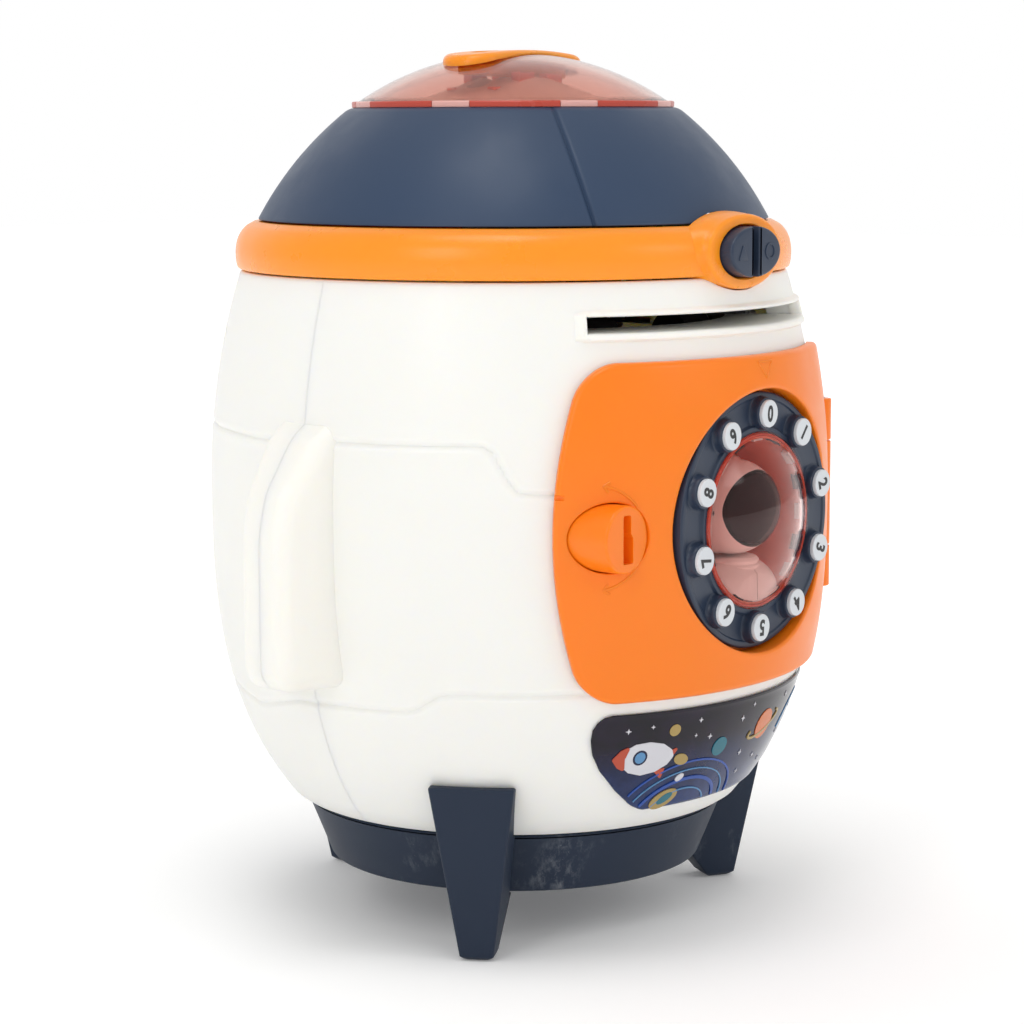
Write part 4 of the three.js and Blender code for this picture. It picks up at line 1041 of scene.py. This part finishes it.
def label_art(name, outline, material, low=0.7, high=0.95):
    """A thin printed shape: a closed outline or a ribbon of point pairs, laid on the label."""
    if isinstance(outline, tuple):
        left, right = outline
        top = np.array([[label_point(*p, high) for p in left], [label_point(*p, high) for p in right]])
        under = np.array([[label_point(*p, low) for p in left], [label_point(*p, low) for p in right]])
        piece = grid_solid(name, top, under)
    else:
        count = len(outline)
        middle = np.mean(np.array(outline), 0)
        rings = [[middle + (np.array(p) - middle) * s for p in outline] for s in (0.5, 1.0)]
        points = [label_point(*middle, high)]
        points += [label_point(*p, high) for ring in rings for p in ring]
        points += [label_point(*p, low) for p in outline]
        faces = [(0, 1 + i, 1 + (i + 1) % count) for i in range(count)]
        faces += grid_faces(3, count, 1, closed=True)
        faces.append(tuple(range(1 + 2 * count, 1 + 3 * count)))
        piece = tidy_mesh(new_piece(name, points, faces))
    return dress(piece, "housing", "label_film", material)


def ribbon(points, width):
    p = np.array(points, float)
    along = np.gradient(p, axis=0)
    along /= np.linalg.norm(along, axis=1)[:, None]
    side = np.stack([-along[:, 1], along[:, 0]], -1) * width / 2
    return ([tuple(q) for q in p + side], [tuple(q) for q in p - side])


def arc_points(centre, half, start, end, count=40, tilt=0.0):
    t = radians(np.linspace(start, end, count))
    c, s = math.cos(math.radians(tilt)), math.sin(math.radians(tilt))
    x, y = half[0] * np.cos(t), half[1] * np.sin(t)
    return [(centre[0] + c * u - s * v, centre[1] + s * u + c * v) for u, v in zip(x, y)]


def build_label():
    rows = spaced((38, 38.8, 0.15), (38.8, 65.6, 0.9), (65.6, 66.6, 0.12))
    share = np.concatenate([[-1, -0.996, -0.99, -0.98], np.linspace(-0.965, 0.965, 60),
                            [0.98, 0.99, 0.996, 1]])
    z = np.broadcast_to(rows[:, None], (len(rows), len(share)))
    half = label_half(rows)[:, None]
    arc = radians(half * share) * ARC_R
    inside = np.minimum(half * (1 - np.abs(share)) * 1.27, np.minimum(z - 38, 66.6 - z))
    rim = np.clip(inside / 0.4, 0, 1)
    lift = 0.45 + 0.35 * np.sqrt(1 - (1 - rim) ** 2) + 0.12 * np.exp(-(((inside - 0.8) / 0.3) ** 2))
    plate = grid_solid("label_film_plate", on_body(arc, z, lift), on_body(arc, z, 0.3))
    dress(plate, "housing", "label_film", label_film, "label_plate", smooth=40)

    # a planet's horizon at the bottom, orbits, planets, stars and a small rocket
    for i, (r, width,
            material) in enumerate(((17.0, 0.5, art_blue), (14.6, 0.3, art_sky), (12.0, 0.9, art_blue),
                                    (9.0, 0.35, art_sky))):
        orbit = [(u, v) for u, v in arc_points((-15, 34.5), (r * 1.3, r), 10, 170, 60)
                 if v > 39 and abs(u) < math.radians(label_half(v)) * 73 - 1.4]
        label_art(f"label_orbit_{i}", ribbon(orbit, width), material)
    label_art("label_planet_blue", arc_points((-21.5, 41.2), (4.4, 2.6), 0, 350, 28, 20), art_gold)
    label_art("label_planet_land", arc_points((-21.2, 41.4), (2.5, 1.3), 0, 345, 20, 30), art_teal, high=1.0)
    label_art("label_moon", arc_points((-24.5, 61.2), (1.6, 1.6), 0, 340, 18), art_gold)
    label_art("label_pebble", arc_points((-18.8, 47.2), (1.4, 1.0), 0, 340, 18, 30), art_white)
    label_art("label_ringed_planet", arc_points((11.5, 57.0), (4.1, 4.1), 0, 345, 24), art_orange)
    label_art("label_planet_ring", ribbon(arc_points((11.5, 57.0), (7.4, 2.0), 150, 390, 40, 18), 0.7),
              art_gold, high=1.02)
    label_art("label_teal_planet", arc_points((-7.5, 54.2), (2.6, 2.6), 0, 340, 18), art_teal)
    label_art("label_comet", ribbon(arc_points((37, 50), (12, 12), 95, 165), 0.9), art_sky)
    # the rocket flies to the left
    hull = [(-38.6, 54.8), (-37.5, 57.0), (-34.9, 58.4), (-31.0, 58.7), (-27.0, 57.8), (-24.2, 55.9),
            (-23.2, 54.0),
            (-24.6, 51.8), (-27.8, 50.1), (-32.0, 49.5), (-35.8, 50.6), (-38.0, 52.6)]
    label_art("label_rocket_hull", fillet([(u, v, 1.0) for u, v in hull], 3), art_white, high=0.98)
    nose = [(-40.9, 54.6), (-38.8, 57.0), (-36.2, 58.2), (-37.4, 54.6), (-36.9, 51.0), (-39.2, 52.3)]
    label_art("label_rocket_nose", fillet([(u, v, 0.5) for u, v in nose], 3), art_red, high=1.03)
    label_art("label_rocket_port", arc_points((-33.2, 54.6), (2.0, 2.1), 0, 350, 24), art_dark, high=1.0)
    label_art("label_rocket_glass", arc_points((-33.2, 54.6), (1.45, 1.55), 0, 350, 24), art_sky, high=1.03)
    label_art("label_rocket_fin_0", fillet([(-25.2, 55.4, 0.2), (-22.0, 56.4, 0.4), (-23.4, 54.2, 0.2)], 3),
              art_red)
    label_art("label_rocket_fin_1", fillet([(-28.4, 50.4, 0.2), (-25.4, 47.6, 0.4), (-25.0, 50.8, 0.2)], 3),
              art_red)
    label_art("label_rocket_flame", arc_points((-20.4, 52.6), (2.4, 1.5), 0, 350, 20, -20), art_gold,
              high=0.97)
    stars = ((-37.5, 62.2, 0.4), (-31, 62.8, 0.3), (-17, 63, 0.35), (-12.5, 57.8, 0.4), (-1, 60.8, 0.4),
             (2.8, 64, 0.3),
             (3.5, 50.5, 0.4), (13, 48, 0.35), (22, 63.2, 0.4), (27, 52, 0.35), (31.5, 58.5, 0.35),
             (-17.5, 58.8, 0.25),
             (7, 44.5, 0.3), (20.5, 45.5, 0.3))
    for i, (u, v, size) in enumerate(stars):
        points = []
        for k in range(8):
            reach = size * (2.0 if k % 2 == 0 else 0.7)
            points.append((u + reach * math.cos(k * math.pi / 4), v + reach * math.sin(k * math.pi / 4)))
        label_art(f"label_star_{i}", points, art_white)


def film_material():
    """Glossy printed film: near-black sky that turns deep blue towards the bottom, with faint haze."""
    m = Nodes("label_film")
    split = m.node("ShaderNodeSeparateXYZ")
    m.link(m.place, split.inputs[0])
    rise = m.ramp(split.outputs["Z"], 0.036, 0.058)
    low = m.blend(m.ramp(m.noise(90, 5, 0.65), 0.4, 0.7), (0.006, 0.022, 0.10), (0.015, 0.05, 0.21))
    sky = m.blend(m.ramp(m.noise(120, 5, 0.65), 0.45, 0.75), (0.003, 0.002, 0.007), (0.012, 0.005, 0.024))
    m.link(m.blend(rise, low, sky), m.shader.inputs["Base Color"])
    m.link(m.ramp(m.noise(200, 3), 0.3, 0.7, 0.1, 0.17), m.shader.inputs["Roughness"])
    m.bump([(m.noise(60, 2), 0.04, 0.3)])
    m.shader.inputs["Coat Weight"].default_value = 0.05
    m.shader.inputs["Specular IOR Level"].default_value = 0.35
    return m.material


label_film = film_material()
art_blue = moulded("art_blue", (0.022, 0.075, 0.34), 0.15, grain=0.02)
art_sky = moulded("art_sky", (0.10, 0.26, 0.48), 0.15, grain=0.02)
art_gold = moulded("art_gold", (0.38, 0.27, 0.09), 0.15, grain=0.02)
art_orange = moulded("art_orange", (0.62, 0.16, 0.04), 0.15, grain=0.02)
art_red = moulded("art_red", (0.45, 0.07, 0.035), 0.15, grain=0.02)
art_dark = moulded("art_dark", (0.01, 0.016, 0.05), 0.15, grain=0.02)
art_teal = moulded("art_teal", (0.02, 0.15, 0.20), 0.15, grain=0.02)
art_white = moulded("art_white", (0.62, 0.62, 0.66), 0.15, grain=0.02)
build_label()

# ------------------------------------------------------------------ door, hinge
def door_surface(x, z, offset):
    return np.sqrt((body_radius(z) + offset) ** 2 - np.asarray(x, float) ** 2)


def well_tool(centre, r, floor, edge, steps=120):
    """Cuts a round well with a rounded mouth into the door, down to floor (a distance in front)."""
    turn = np.linspace(0, 2 * math.pi, steps, endpoint=False)
    rings = [(r, None), (r, -edge)]
    for a in radians(np.array([22.5, 45, 67.5, 90])):
        rings.append((r + edge * (1 - math.cos(a)), -edge * (1 - math.sin(a))))
    points = []
    for radius, drop in rings:
        x = centre[0] + radius * np.sin(turn)
        z = centre[1] + radius * np.cos(turn)
        y = np.full(steps,
                    float(floor)) if drop is None else np.maximum(door_surface(x, z, DOOR_OUTER) + drop,
                            floor)
        points.append(np.column_stack([x, -y, z]))
    x, z = centre[0] + (r + edge + 0.3) * np.sin(turn), centre[1] + (r + edge + 0.3) * np.cos(turn)
    points.append(np.column_stack([x, np.full(steps, -95.0), z]))
    faces = grid_faces(len(points), steps, closed=True)
    faces += [tuple(reversed(range(steps))), tuple(range((len(points) - 1) * steps, len(points) * steps))]
    return tidy_mesh(new_piece("tool", np.concatenate(points), faces))


def well_wall(centre, r, back, floor, inset):
    """The sleeve behind a well: its outer wall reaches from back up to just under the door's face."""
    steps = 120
    turn = np.linspace(0, 2 * math.pi, steps, endpoint=False)
    x, z = centre[0] + r * np.sin(turn), centre[1] + r * np.cos(turn)
    front = np.maximum(door_surface(x, z, DOOR_OUTER) - inset, floor)
    low = np.column_stack([x, np.full(steps, -float(back)), z])
    high = np.column_stack([x, -front, z])
    faces = grid_faces(2, steps, closed=True)
    faces += [tuple(reversed(range(steps))), tuple(range(steps, 2 * steps))]
    return tidy_mesh(new_piece("sleeve", np.concatenate([low, high]), faces))


def door_grid():
    near = [0, 0.06, 0.22, 0.48, 0.82, 1.22, 1.6, 1.95, 2.6, 3.6, 5.0, 6.6]
    half_h = DOOR_HALF[1]
    upper = np.array(list(half_h - np.array(near)) + list(np.linspace(half_h - 8.6, 0, 16)))
    z = DOOR_Z + np.concatenate([-upper, upper[::-1][1:]])
    wide = door_half_width(z)
    columns = []
    for d in near:
        columns.append(wide - d)
    inner = wide - 8.6
    for share in np.linspace(1, 0, 28):
        columns.append(inner * share)
    right = np.array(columns)
    arc = np.concatenate([-right, right[::-1][1:]]).T
    zz = np.broadcast_to(z[:, None], arc.shape)
    depth = np.clip(door_distance(arc, zz) / DOOR_EDGE, 0, 1)
    lift = DOOR_OUTER - DOOR_EDGE * (1 - np.sqrt(1 - (1 - depth) ** 2))
    return on_body(arc, zz, lift), on_body(arc, zz, DOOR_INNER)


def surface_strip(points, width, lift, high):
    """A raised rounded strip along (arc, height) points on the door."""
    left, right = ribbon(points, width)
    inner_left, inner_right = ribbon(points, width * 0.5)
    rows = [(left, lift), (inner_left, high), (inner_right, high), (right, lift)]
    top = np.array([[on_body(*p, h) for p in row] for row, h in rows])
    low = np.array([[on_body(*p, lift - 0.3) for p in row] for row, h in rows])
    return grid_solid("strip", top, low)


def build_door():
    door = grid_solid("door_skin", *door_grid())
    weld(door, well_wall((0, DOOR_Z), DIAL_R + 3, 74.2, 75, 1.2),
         well_wall(LATCH, LATCH_R + 1.8, 60.3, 60.5, 1.0))
    carve(door, well_tool((0, DOOR_Z), DIAL_R + 0.9, -DIAL_FLOOR, 1.0))
    carve(door, bar_tool(CUP_R + 0.3, (0, 0, DOOR_Z), 60, 95, steps=96))
    carve(door, well_tool(LATCH, LATCH_R + 0.3, 62.1, 0.35, 96))
    carve(door,
          rounded_prism("tool", rectangle((1.2, 0.7), corner=0.5), 40, 80, 0.01, FACING_FRONT,
                        (-59.4, 0, 123.2)))
    carve(door, bar_tool(4.3, (LATCH[0], 0, LATCH[1]), 50, 95))
    # Each strip hides its lower edge inside the door.
    marks = []
    tip = (0, 149.7)
    for start, end in (((-3.1, 153.9), (3.1, 153.9)), ((3.1, 153.9), tip), (tip, (-3.1, 153.9))):
        marks.append(surface_strip([start, end], 0.7, DOOR_OUTER - 0.05, DOOR_OUTER + 0.22))
    for low, high in ((35, 80), (-35, -80)):
        curve = arc_points((LATCH[0] * 1.12, LATCH[1]), (13.2, 13.2), low, high, 14)
        marks.append(surface_strip(curve, 0.8, DOOR_OUTER - 0.05, DOOR_OUTER + 0.17))
        (ax, az), (bx, bz) = curve[-1], curve[-2]
        back = np.array([bx - ax, bz - az]) / math.hypot(bx - ax, bz - az)
        side = np.array([-back[1], back[0]])
        for s in (-1, 1):
            barb = np.array([ax, az]) + (back * 1.5 + side * s * 1.3)
            marks.append(surface_strip([(ax, az), tuple(barb)], 0.7, DOOR_OUTER - 0.05, DOOR_OUTER + 0.17))
    for mark in marks:
        dress(mark, "door", "orange_plastic", orange)
        mark.name = "door_mark"
    return dress(door, "door", "orange_plastic", orange, "door_panel", smooth=28)


def knuckle(name, z0, z1, body, inner, outer, reach, node):
    """One barrel of the hinge with the leaf that joins it to the door or to the body."""
    outline = fillet([(0, z0, 0), (3.0, z0, 0.35), (3.0, z1, 0.35), (0, z1, 0)], 4)
    piece = lathe(name, outline, centre=(HINGE[0], HINGE[1], 0), steps=40)
    z = spaced((z0 + 0.1, z1 - 0.1, 1.2))
    arc = np.linspace(math.radians(inner) * ARC_R, math.radians(outer) * ARC_R, 10)
    aa, zz = np.meshgrid(arc, z)
    edge = np.minimum(np.minimum(zz - z[0], z[-1] - zz), 1)
    leaf = grid_solid("leaf", on_body(aa, zz, reach - 0.3 + 0.3 * np.sqrt(np.clip(edge, 0, 1))),
                      on_body(aa, zz, 0.5))
    weld(piece, leaf)
    carve(piece, lathe("tool", [(0, z0 - 1), (1.3, z0 - 1), (1.3, z1 + 1), (0, z1 + 1)],
                       centre=(HINGE[0], HINGE[1], 0), steps=24))
    return dress(piece, body, "orange_plastic", orange, node, smooth=35)


build_door()
knuckle("door_knuckle_top", *KNUCKLES[0], "door", 42, 46.6, 2.9, "door_panel")
knuckle("door_knuckle_bottom", *KNUCKLES[2], "door", 42, 46.6, 2.9, "door_panel")
knuckle("hinge_knuckle", *KNUCKLES[1], "housing", 46.9, 52, 2.5, "hinge_block")

# ------------------------------------------------------------------ dial
def number_places():
    for i in range(10):
        angle = math.radians(36 * i + NUMBER_TURN)
        yield i, angle, NUMBER_CIRCLE * math.sin(angle), DOOR_Z + NUMBER_CIRCLE * math.cos(angle)


def build_digit(i, angle, x, z):
    """The number printed on a disc, its top pointing outwards."""
    curve = bpy.data.curves.new(f"digit_{i}", "FONT")
    curve.body = str(i)
    curve.size = 5.9 * MM
    curve.offset = 0.2 * MM
    curve.extrude = 0.04 * MM
    curve.align_x = "CENTER"
    curve.align_y = "CENTER"
    curve.resolution_u = 6
    text = bpy.data.objects.new(f"digit_{i}", curve)
    bpy.context.scene.collection.objects.link(text)
    place = (Vector((x, DIAL_FACE - 3.12, z)) + AXIS) * MM
    text.matrix_world = (
        Matrix.Translation(place) @ Matrix.Rotation(math.radians(90), 4, "X")
        @ Matrix.Rotation(-angle, 4, "Z")
    )
    bpy.context.view_layer.update()
    mesh = bpy.data.meshes.new_from_object(text.evaluated_get(bpy.context.evaluated_depsgraph_get()))
    matrix = text.matrix_world.copy()
    bpy.data.objects.remove(text)
    low = Vector(min(v.co[k] for v in mesh.vertices) for k in range(3))
    high = Vector(max(v.co[k] for v in mesh.vertices) for k in range(3))
    middle = (low + high) / 2
    mesh.transform(matrix @ Matrix.Diagonal((0.8, 0.95, 1, 1)) @ Matrix.Translation((-middle.x, -middle.y,
            0)))
    piece = bpy.data.objects.new(f"printed_{i}", mesh)
    bpy.context.scene.collection.objects.link(piece)
    return dress(tidy_mesh(piece, 1e-7), "dial", "gloss_black", ink)


def build_dial():
    ring = lathe("dial_plate", fillet([
        (22.7, 77, 0.3), (DIAL_R, 77, 0.4), (DIAL_R, 80.1, 0.55), (DIAL_R - 1.6, 80.1, 0.2),
        (DIAL_R - 2.0, 79.75, 0.3),
        (24.8, 79.75, 0.4), (24.3, 80.5, 0.3), (22.7, 80.5, 0.4),
    ]), FACING_FRONT, (0, 0, DOOR_Z), 144)
    for i, angle, x, z in number_places():
        boss = [(0, 79), (5.0, 79), (5.0, 79.8), (4.6, 79.95), (4.36, 80.3), (4.25, 81.2), (4.2, 81.75),
                (4.08, 82.07), (3.8, 82.2), (0, 82.2)]
        weld(ring, lathe("boss", boss, FACING_FRONT, (x, 0, z), 40))
        disc = fillet([(0, 82.1, 0), (3.55, 82.1, 0.1), (3.55, 83.2, 0.25), (0, 83.2, 0)], 4)
        piece = lathe(f"number_disc_{i}_cap", disc, FACING_FRONT, (x, 0, z), 48)
        dress(piece, "dial", "white_plastic", disc_white, f"number_disc_{i}", smooth=40)
        build_digit(i, angle, x, z)
    return dress(ring, "dial", "navy_plastic", dial_navy, "dial_ring", smooth=32)


build_dial()

# ------------------------------------------------------------------ window and the figure behind it
HELMET_R = 12.4
VISOR_HALF = (11.0, 9.2)


def window_arc(r, apex, rim_r, rim):
    bulge = apex - rim
    radius = (rim_r ** 2 + bulge ** 2) / (2 * bulge)
    return apex - radius + math.sqrt(radius ** 2 - r ** 2)


def build_window():
    outer = [(r, window_arc(r, 87.05, WINDOW_R, 81.2)) for r in np.linspace(WINDOW_R, 0, 22)]
    inner = [(r, window_arc(r, 85.5, 20.0, 80.4)) for r in np.linspace(0, 20.0, 20)]
    outline = [(21.2, 80.4), (22.9, 80.4), (23.0, 80.75), (22.8, 81.1), (22.3, 81.25)] + outer + inner
    dome = lathe("window_shell", outline, FACING_FRONT, (0, 0, DOOR_Z), 128)
    dress(dome, "door", "clear_red", clear_window, "window_dome", smooth=35)
    rim = fillet([(21.7, 80.2, 0.1), (22.5, 80.2, 0.1), (22.5, 80.8, 0.2), (21.7, 80.8, 0.2)], 3)
    dress(lathe("window_rim", rim, FACING_FRONT, (0, 0, DOOR_Z), 128), "door", "clear_red", rim_red,
          smooth=35)
    cup = lathe("window_cup_wall", fillet([
        (0, 50.5, 0), (22.3, 50.5, 1.2), (22.3, 72.2, 0.1), (25.2, 72.2, 0.3), (25.2, 73.9, 0.3),
        (22.3, 73.9, 0.1),
        (22.3, 80.05, 0.2), (20.9, 80.05, 0.2), (20.9, 52.0, 1.4), (0, 52.0, 0),
    ]), FACING_FRONT, (0, 0, DOOR_Z), 112)
    dress(cup, "door", "clear_red", cup_red, "window_cup", smooth=35)
    for i in range(16):
        angle = radians(22.5 * i + np.linspace(-5.6, 5.6, 7))
        grid = []
        for r, y in ((20.88, 80.05), (20.5, 80.05), (20.3, 79.95), (20.3, 78.4), (20.86, 78.2)):
            grid.append(np.column_stack([r * np.sin(angle), np.full(7, -y), DOOR_Z + r * np.cos(angle)]))
        front = np.array(grid)
        outer_ring = np.array([np.column_stack([20.88 * np.sin(angle), np.full(7, -y),
                                                DOOR_Z + 20.88 * np.cos(angle)])
                               for y in (80.07, 79.9, 79.5, 78.8, 78.15)])
        lug = grid_solid(f"window_lug_{i}", front, outer_ring)
        # every other lug is near-black, painted shade for a slot between clips
        dress(lug, "door", "white_plastic", slot_shade_black if i % 2 else white)


def build_figure():
    x0, y0, z0 = HEAD
    angles = np.linspace(-math.pi / 2, math.pi / 2, 40)
    profile = [(HELMET_R * math.cos(a), HELMET_R * math.sin(a)) for a in angles]
    profile[0], profile[-1] = (0, -HELMET_R), (0, HELMET_R)
    helmet = lathe("helmet_ball", profile, UPRIGHT, HEAD, 80)
    flare = []
    for y, grow in ((73.3, 0.3), (77.5, 0.3), (80, 0.8), (90, 1.6)):
        ring = ellipse((VISOR_HALF[0] + grow, VISOR_HALF[1] + grow), steps=72)
        flare.append(np.column_stack([ring, np.full(72, y)]))
    faces = grid_faces(len(flare), 72, closed=True)
    faces += [tuple(reversed(range(72))), tuple(range((len(flare) - 1) * 72, len(flare) * 72))]
    carve(helmet,
          tidy_mesh(new_piece("tool", placed(np.concatenate(flare), FACING_FRONT, (0, 0, z0)), faces)))
    dress(helmet, "door", "white_plastic", suit_white, "astronaut_helmet", smooth=35)
    ball = lathe("visor_glass",
                 [(r * (HELMET_R + 0.15) / HELMET_R, h * (HELMET_R + 0.15) / HELMET_R) for r, h in profile],
                 UPRIGHT, HEAD, 80)
    keep = rounded_prism("tool", ellipse(VISOR_HALF, steps=72), 73.3, 88, 0.01, FACING_FRONT, (0, 0, z0))
    combine(ball, keep, "INTERSECT")
    dress(ball, "door", "gloss_black", visor_black, "astronaut_visor", smooth=35)
    for node, side in (("ear_pod_left", -1), ("ear_pod_right", 1)):
        turn = FACING_RIGHT if side > 0 else Matrix.Rotation(math.radians(-90), 4, "Y")
        pod = lathe(node + "_cap", fillet([(0, 11.6, 0), (3.6, 11.6, 0.2), (3.6, 15.2, 0.7), (1.6, 15.2, 0.3),
                                           (1.5, 14.7, 0.2), (0, 14.7, 0)], 4), turn, HEAD, 40)
        dress(pod, "door", "grey_plastic", suit_grey, node, smooth=35)
    neck = lathe("suit_neck",
                 fillet([(0, 99.9, 0), (7.0, 99.9, 0.4), (7.6, 100.9, 0.4), (6.9, 101.4, 0.2),
                         (7.4, 102.2, 0.4),
                                      (6.6, 103.0, 0.4), (0, 103.0, 0)], 3), UPRIGHT, (0, y0, 0), 60)
    dress(neck, "door", "white_plastic", suit_white)
    chest = lathe("suit_chest", [(r, h) for r, h in profile], UPRIGHT, (0, 0, 0), 72)
    scale = Matrix.Diagonal((15.6 / HELMET_R, 9.6 / HELMET_R, 8.84 / HELMET_R, 1))
    local = Matrix.Translation((Vector((0, y0, 94.2)) + AXIS) * MM) @ scale @ Matrix.Translation(-AXIS * MM)
    chest.data.transform(local)
    room = lathe("tool", [(0, 52.4), (20.5, 52.4), (20.5, 80.1), (0, 80.1)], FACING_FRONT, (0, 0, DOOR_Z), 72)
    combine(chest, room, "INTERSECT")
    carve(chest, rounded_prism("tool", rectangle((0.22, 12), (0, 96), 0.1), 76.6, 82, 0.01, FACING_FRONT))
    dress(chest, "door", "white_plastic", suit_white, "astronaut_torso", smooth=35)
    stand = rounded_prism("suit_stand", rectangle((5.8, 2.3), (0, 98.5), 0.8), 52.5, -y0, 0.3, FACING_FRONT)
    dress(stand, "door", "white_plastic", suit_white)


clear_window = clear_plastic("clear_window", (1.0, 0.72, 0.68), 0.02, 0.12)
rim_red = moulded("rim_red", (0.72, 0.09, 0.05), 0.2, 0.2, (1, 0.3, 0.2), grain=0.05)
cup_red = moulded("cup_red", (1.0, 0.20, 0.09), 0.35, 0.4, (1, 0.4, 0.3), grain=0.1)
suit_white = moulded("suit_white", (0.93, 0.90, 0.88), 0.42, grain=0.15)
suit_grey = moulded("suit_grey", (0.1, 0.1, 0.11), 0.4)
build_window()
build_figure()

# ------------------------------------------------------------------ key latch
def build_latch():
    outline = fillet([(0, 55.2, 0), (4.0, 55.2, 0.3), (4.0, 62.4, 0), (8.5, 62.4, 0.3),
                      (8.5, -LATCH_FACE, 0.7), (0, -LATCH_FACE, 0)], 8)
    barrel = lathe("latch_knob", outline, FACING_FRONT, (LATCH[0], 0, LATCH[1]), 96)
    slot = fillet([(-1.6, -6.1, 0.6), (2.5, -6.1, 0.6), (2.5, 0.2, 0.5), (1.6, 1.4, 0.4), (1.6, 6.1, 0.6),
                   (-1.6, 6.1, 0.6)], 4)
    carve(barrel, rounded_prism("tool", slot, 70.1, 80, 0.01, FACING_FRONT, (LATCH[0], 0, LATCH[1])))
    spindle = fillet([(0, 50.6, 0), (2.6, 50.6, 0.3), (2.6, 55.4, 0), (0, 55.4, 0)], 3)
    weld(barrel, lathe("spindle", spindle, FACING_FRONT, (LATCH[0], 0, LATCH[1]), 40))
    return dress(barrel, "latch", "orange_plastic", orange, "latch_barrel", smooth=35)


build_latch()

# ------------------------------------------------------------------ inner pieces keep their CAD shape
INNER = {
    "battery_box": grey, "cover_screw": steel, "battery_1": cell_can, "battery_2": cell_can,
    "battery_3": cell_can,
    "button_board": board_green, "hinge_pin": steel, "latch_cam": steel, "note_guide": guide_cream_shaded,
    "feed_frame": grey, "feed_shaft": brass, "feed_roller_left": rubber, "feed_roller_right": rubber,
    "idler_roller": rubber, "feed_gear": white, "motor_pinion": brass, "feed_motor": steel,
    "money_bin": guide_cream_shaded,
    "circuit_board": board_green, "speaker": grey, "shell_screw_1": steel, "shell_screw_2": steel,
    "shell_screw_3": steel, "shell_screw_4": steel,
}
for node, material in INNER.items():
    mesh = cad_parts[node].data
    mesh.materials.clear()
    mesh.materials.append(material)

# ------------------------------------------------------------------ floor, light, camera
CAMERA_AZIMUTH = 51.175        # degrees that the camera stands to the left of the front
CAMERA_DISTANCE = 777.4
CAMERA_HEIGHT = 215.1
CAMERA_PITCH = 7.833
CAMERA_YAW = 0.043
CAMERA_ROLL = 0.161
CAMERA_LENS = 100.17


def build_camera():
    data = bpy.data.cameras.new("camera")
    data.lens = CAMERA_LENS
    data.sensor_width = 36
    data.clip_start = 0.05
    data.clip_end = 20
    camera = bpy.data.objects.new("camera", data)
    bpy.context.scene.collection.objects.link(camera)
    azimuth = math.radians(CAMERA_AZIMUTH)
    place = Vector((-CAMERA_DISTANCE * math.sin(azimuth), -CAMERA_DISTANCE * math.cos(azimuth),
                    CAMERA_HEIGHT))
    heading = Matrix.Rotation(math.radians(CAMERA_YAW) - azimuth, 4, "Z")
    tilt = Matrix.Rotation(math.radians(90 - CAMERA_PITCH), 4, "X")
    roll = Matrix.Rotation(math.radians(-CAMERA_ROLL), 4, "Z")
    camera.matrix_world = Matrix.Translation((place + AXIS) * MM) @ heading @ tilt @ roll
    bpy.context.scene.camera = camera


def area_light(name, place, target, size, power, colour=(1, 1, 1)):
    data = bpy.data.lights.new(name, "AREA")
    data.shape = "RECTANGLE"
    data.size, data.size_y = size
    data.energy = power
    data.color = colour
    light = bpy.data.objects.new(name, data)
    bpy.context.scene.collection.objects.link(light)
    light.location = place
    light.rotation_euler = (Vector(target) - Vector(place)).to_track_quat("-Z", "Y").to_euler()


def build_studio():
    bpy.ops.mesh.primitive_plane_add(size=8, location=(0, 0, 0))
    floor = bpy.context.object
    floor.name = "floor"
    m = Nodes("floor_paper")
    m.link(m.blend(m.noise(3, 3), (0.93, 0.93, 0.93), (0.95, 0.95, 0.95)), m.shader.inputs["Base Color"])
    m.shader.inputs["Roughness"].default_value = 0.9
    # painted light: the paper glows, weakly near the object and more strongly away from it
    distance = m.node("ShaderNodeVectorMath")
    distance.operation = "LENGTH"
    m.link(m.place, distance.inputs[0])
    m.shader.inputs["Emission Color"].default_value = (1, 1, 1, 1)
    m.link(m.ramp(distance.outputs["Value"], 0.08, 0.6, 0.1, 0.42), m.shader.inputs["Emission Strength"])
    floor.data.materials.append(m.material)
    world = bpy.data.worlds.new("studio")
    world.use_nodes = True
    tree = world.node_tree
    # white behind the object, about two thirds as bright elsewhere
    direction = tree.nodes.new("ShaderNodeTexCoord").outputs["Generated"]
    facing = tree.nodes.new("ShaderNodeVectorMath")
    facing.operation = "DOT_PRODUCT"
    facing.inputs[1].default_value = (0.779, 0.627, 0)
    level = tree.nodes.new("ShaderNodeMapRange")
    level.inputs["From Min"].default_value = 0.3
    level.inputs["From Max"].default_value = 0.85
    level.inputs["To Min"].default_value = 0.645
    level.inputs["To Max"].default_value = 1.0
    tree.links.new(direction, facing.inputs[0])
    tree.links.new(facing.outputs["Value"], level.inputs["Value"])
    # the backdrop itself is plain white all round
    backdrop = tree.nodes.new("ShaderNodeMath")
    backdrop.operation = "MAXIMUM"
    tree.links.new(level.outputs["Result"], backdrop.inputs[0])
    tree.links.new(tree.nodes.new("ShaderNodeLightPath").outputs["Is Camera Ray"], backdrop.inputs[1])
    tree.links.new(backdrop.outputs["Value"], tree.nodes["Background"].inputs["Strength"])
    tree.nodes["Background"].inputs["Color"].default_value = (1, 1, 1, 1)
    bpy.context.scene.world = world
    area_light("key", (-1.34, -0.23, 0.8), (0, 0, 0.13), (0.45, 0.7), 3.4)
    area_light("front", (0.35, -1.45, 0.85), (0, 0, 0.12), (0.6, 0.6), 2.2)
    area_light("top", (-0.35, -0.1, 1.6), (0, 0, 0.12), (0.6, 0.6), 5.2)
    bpy.context.scene.view_settings.view_transform = "Standard"


build_camera()
build_studio()
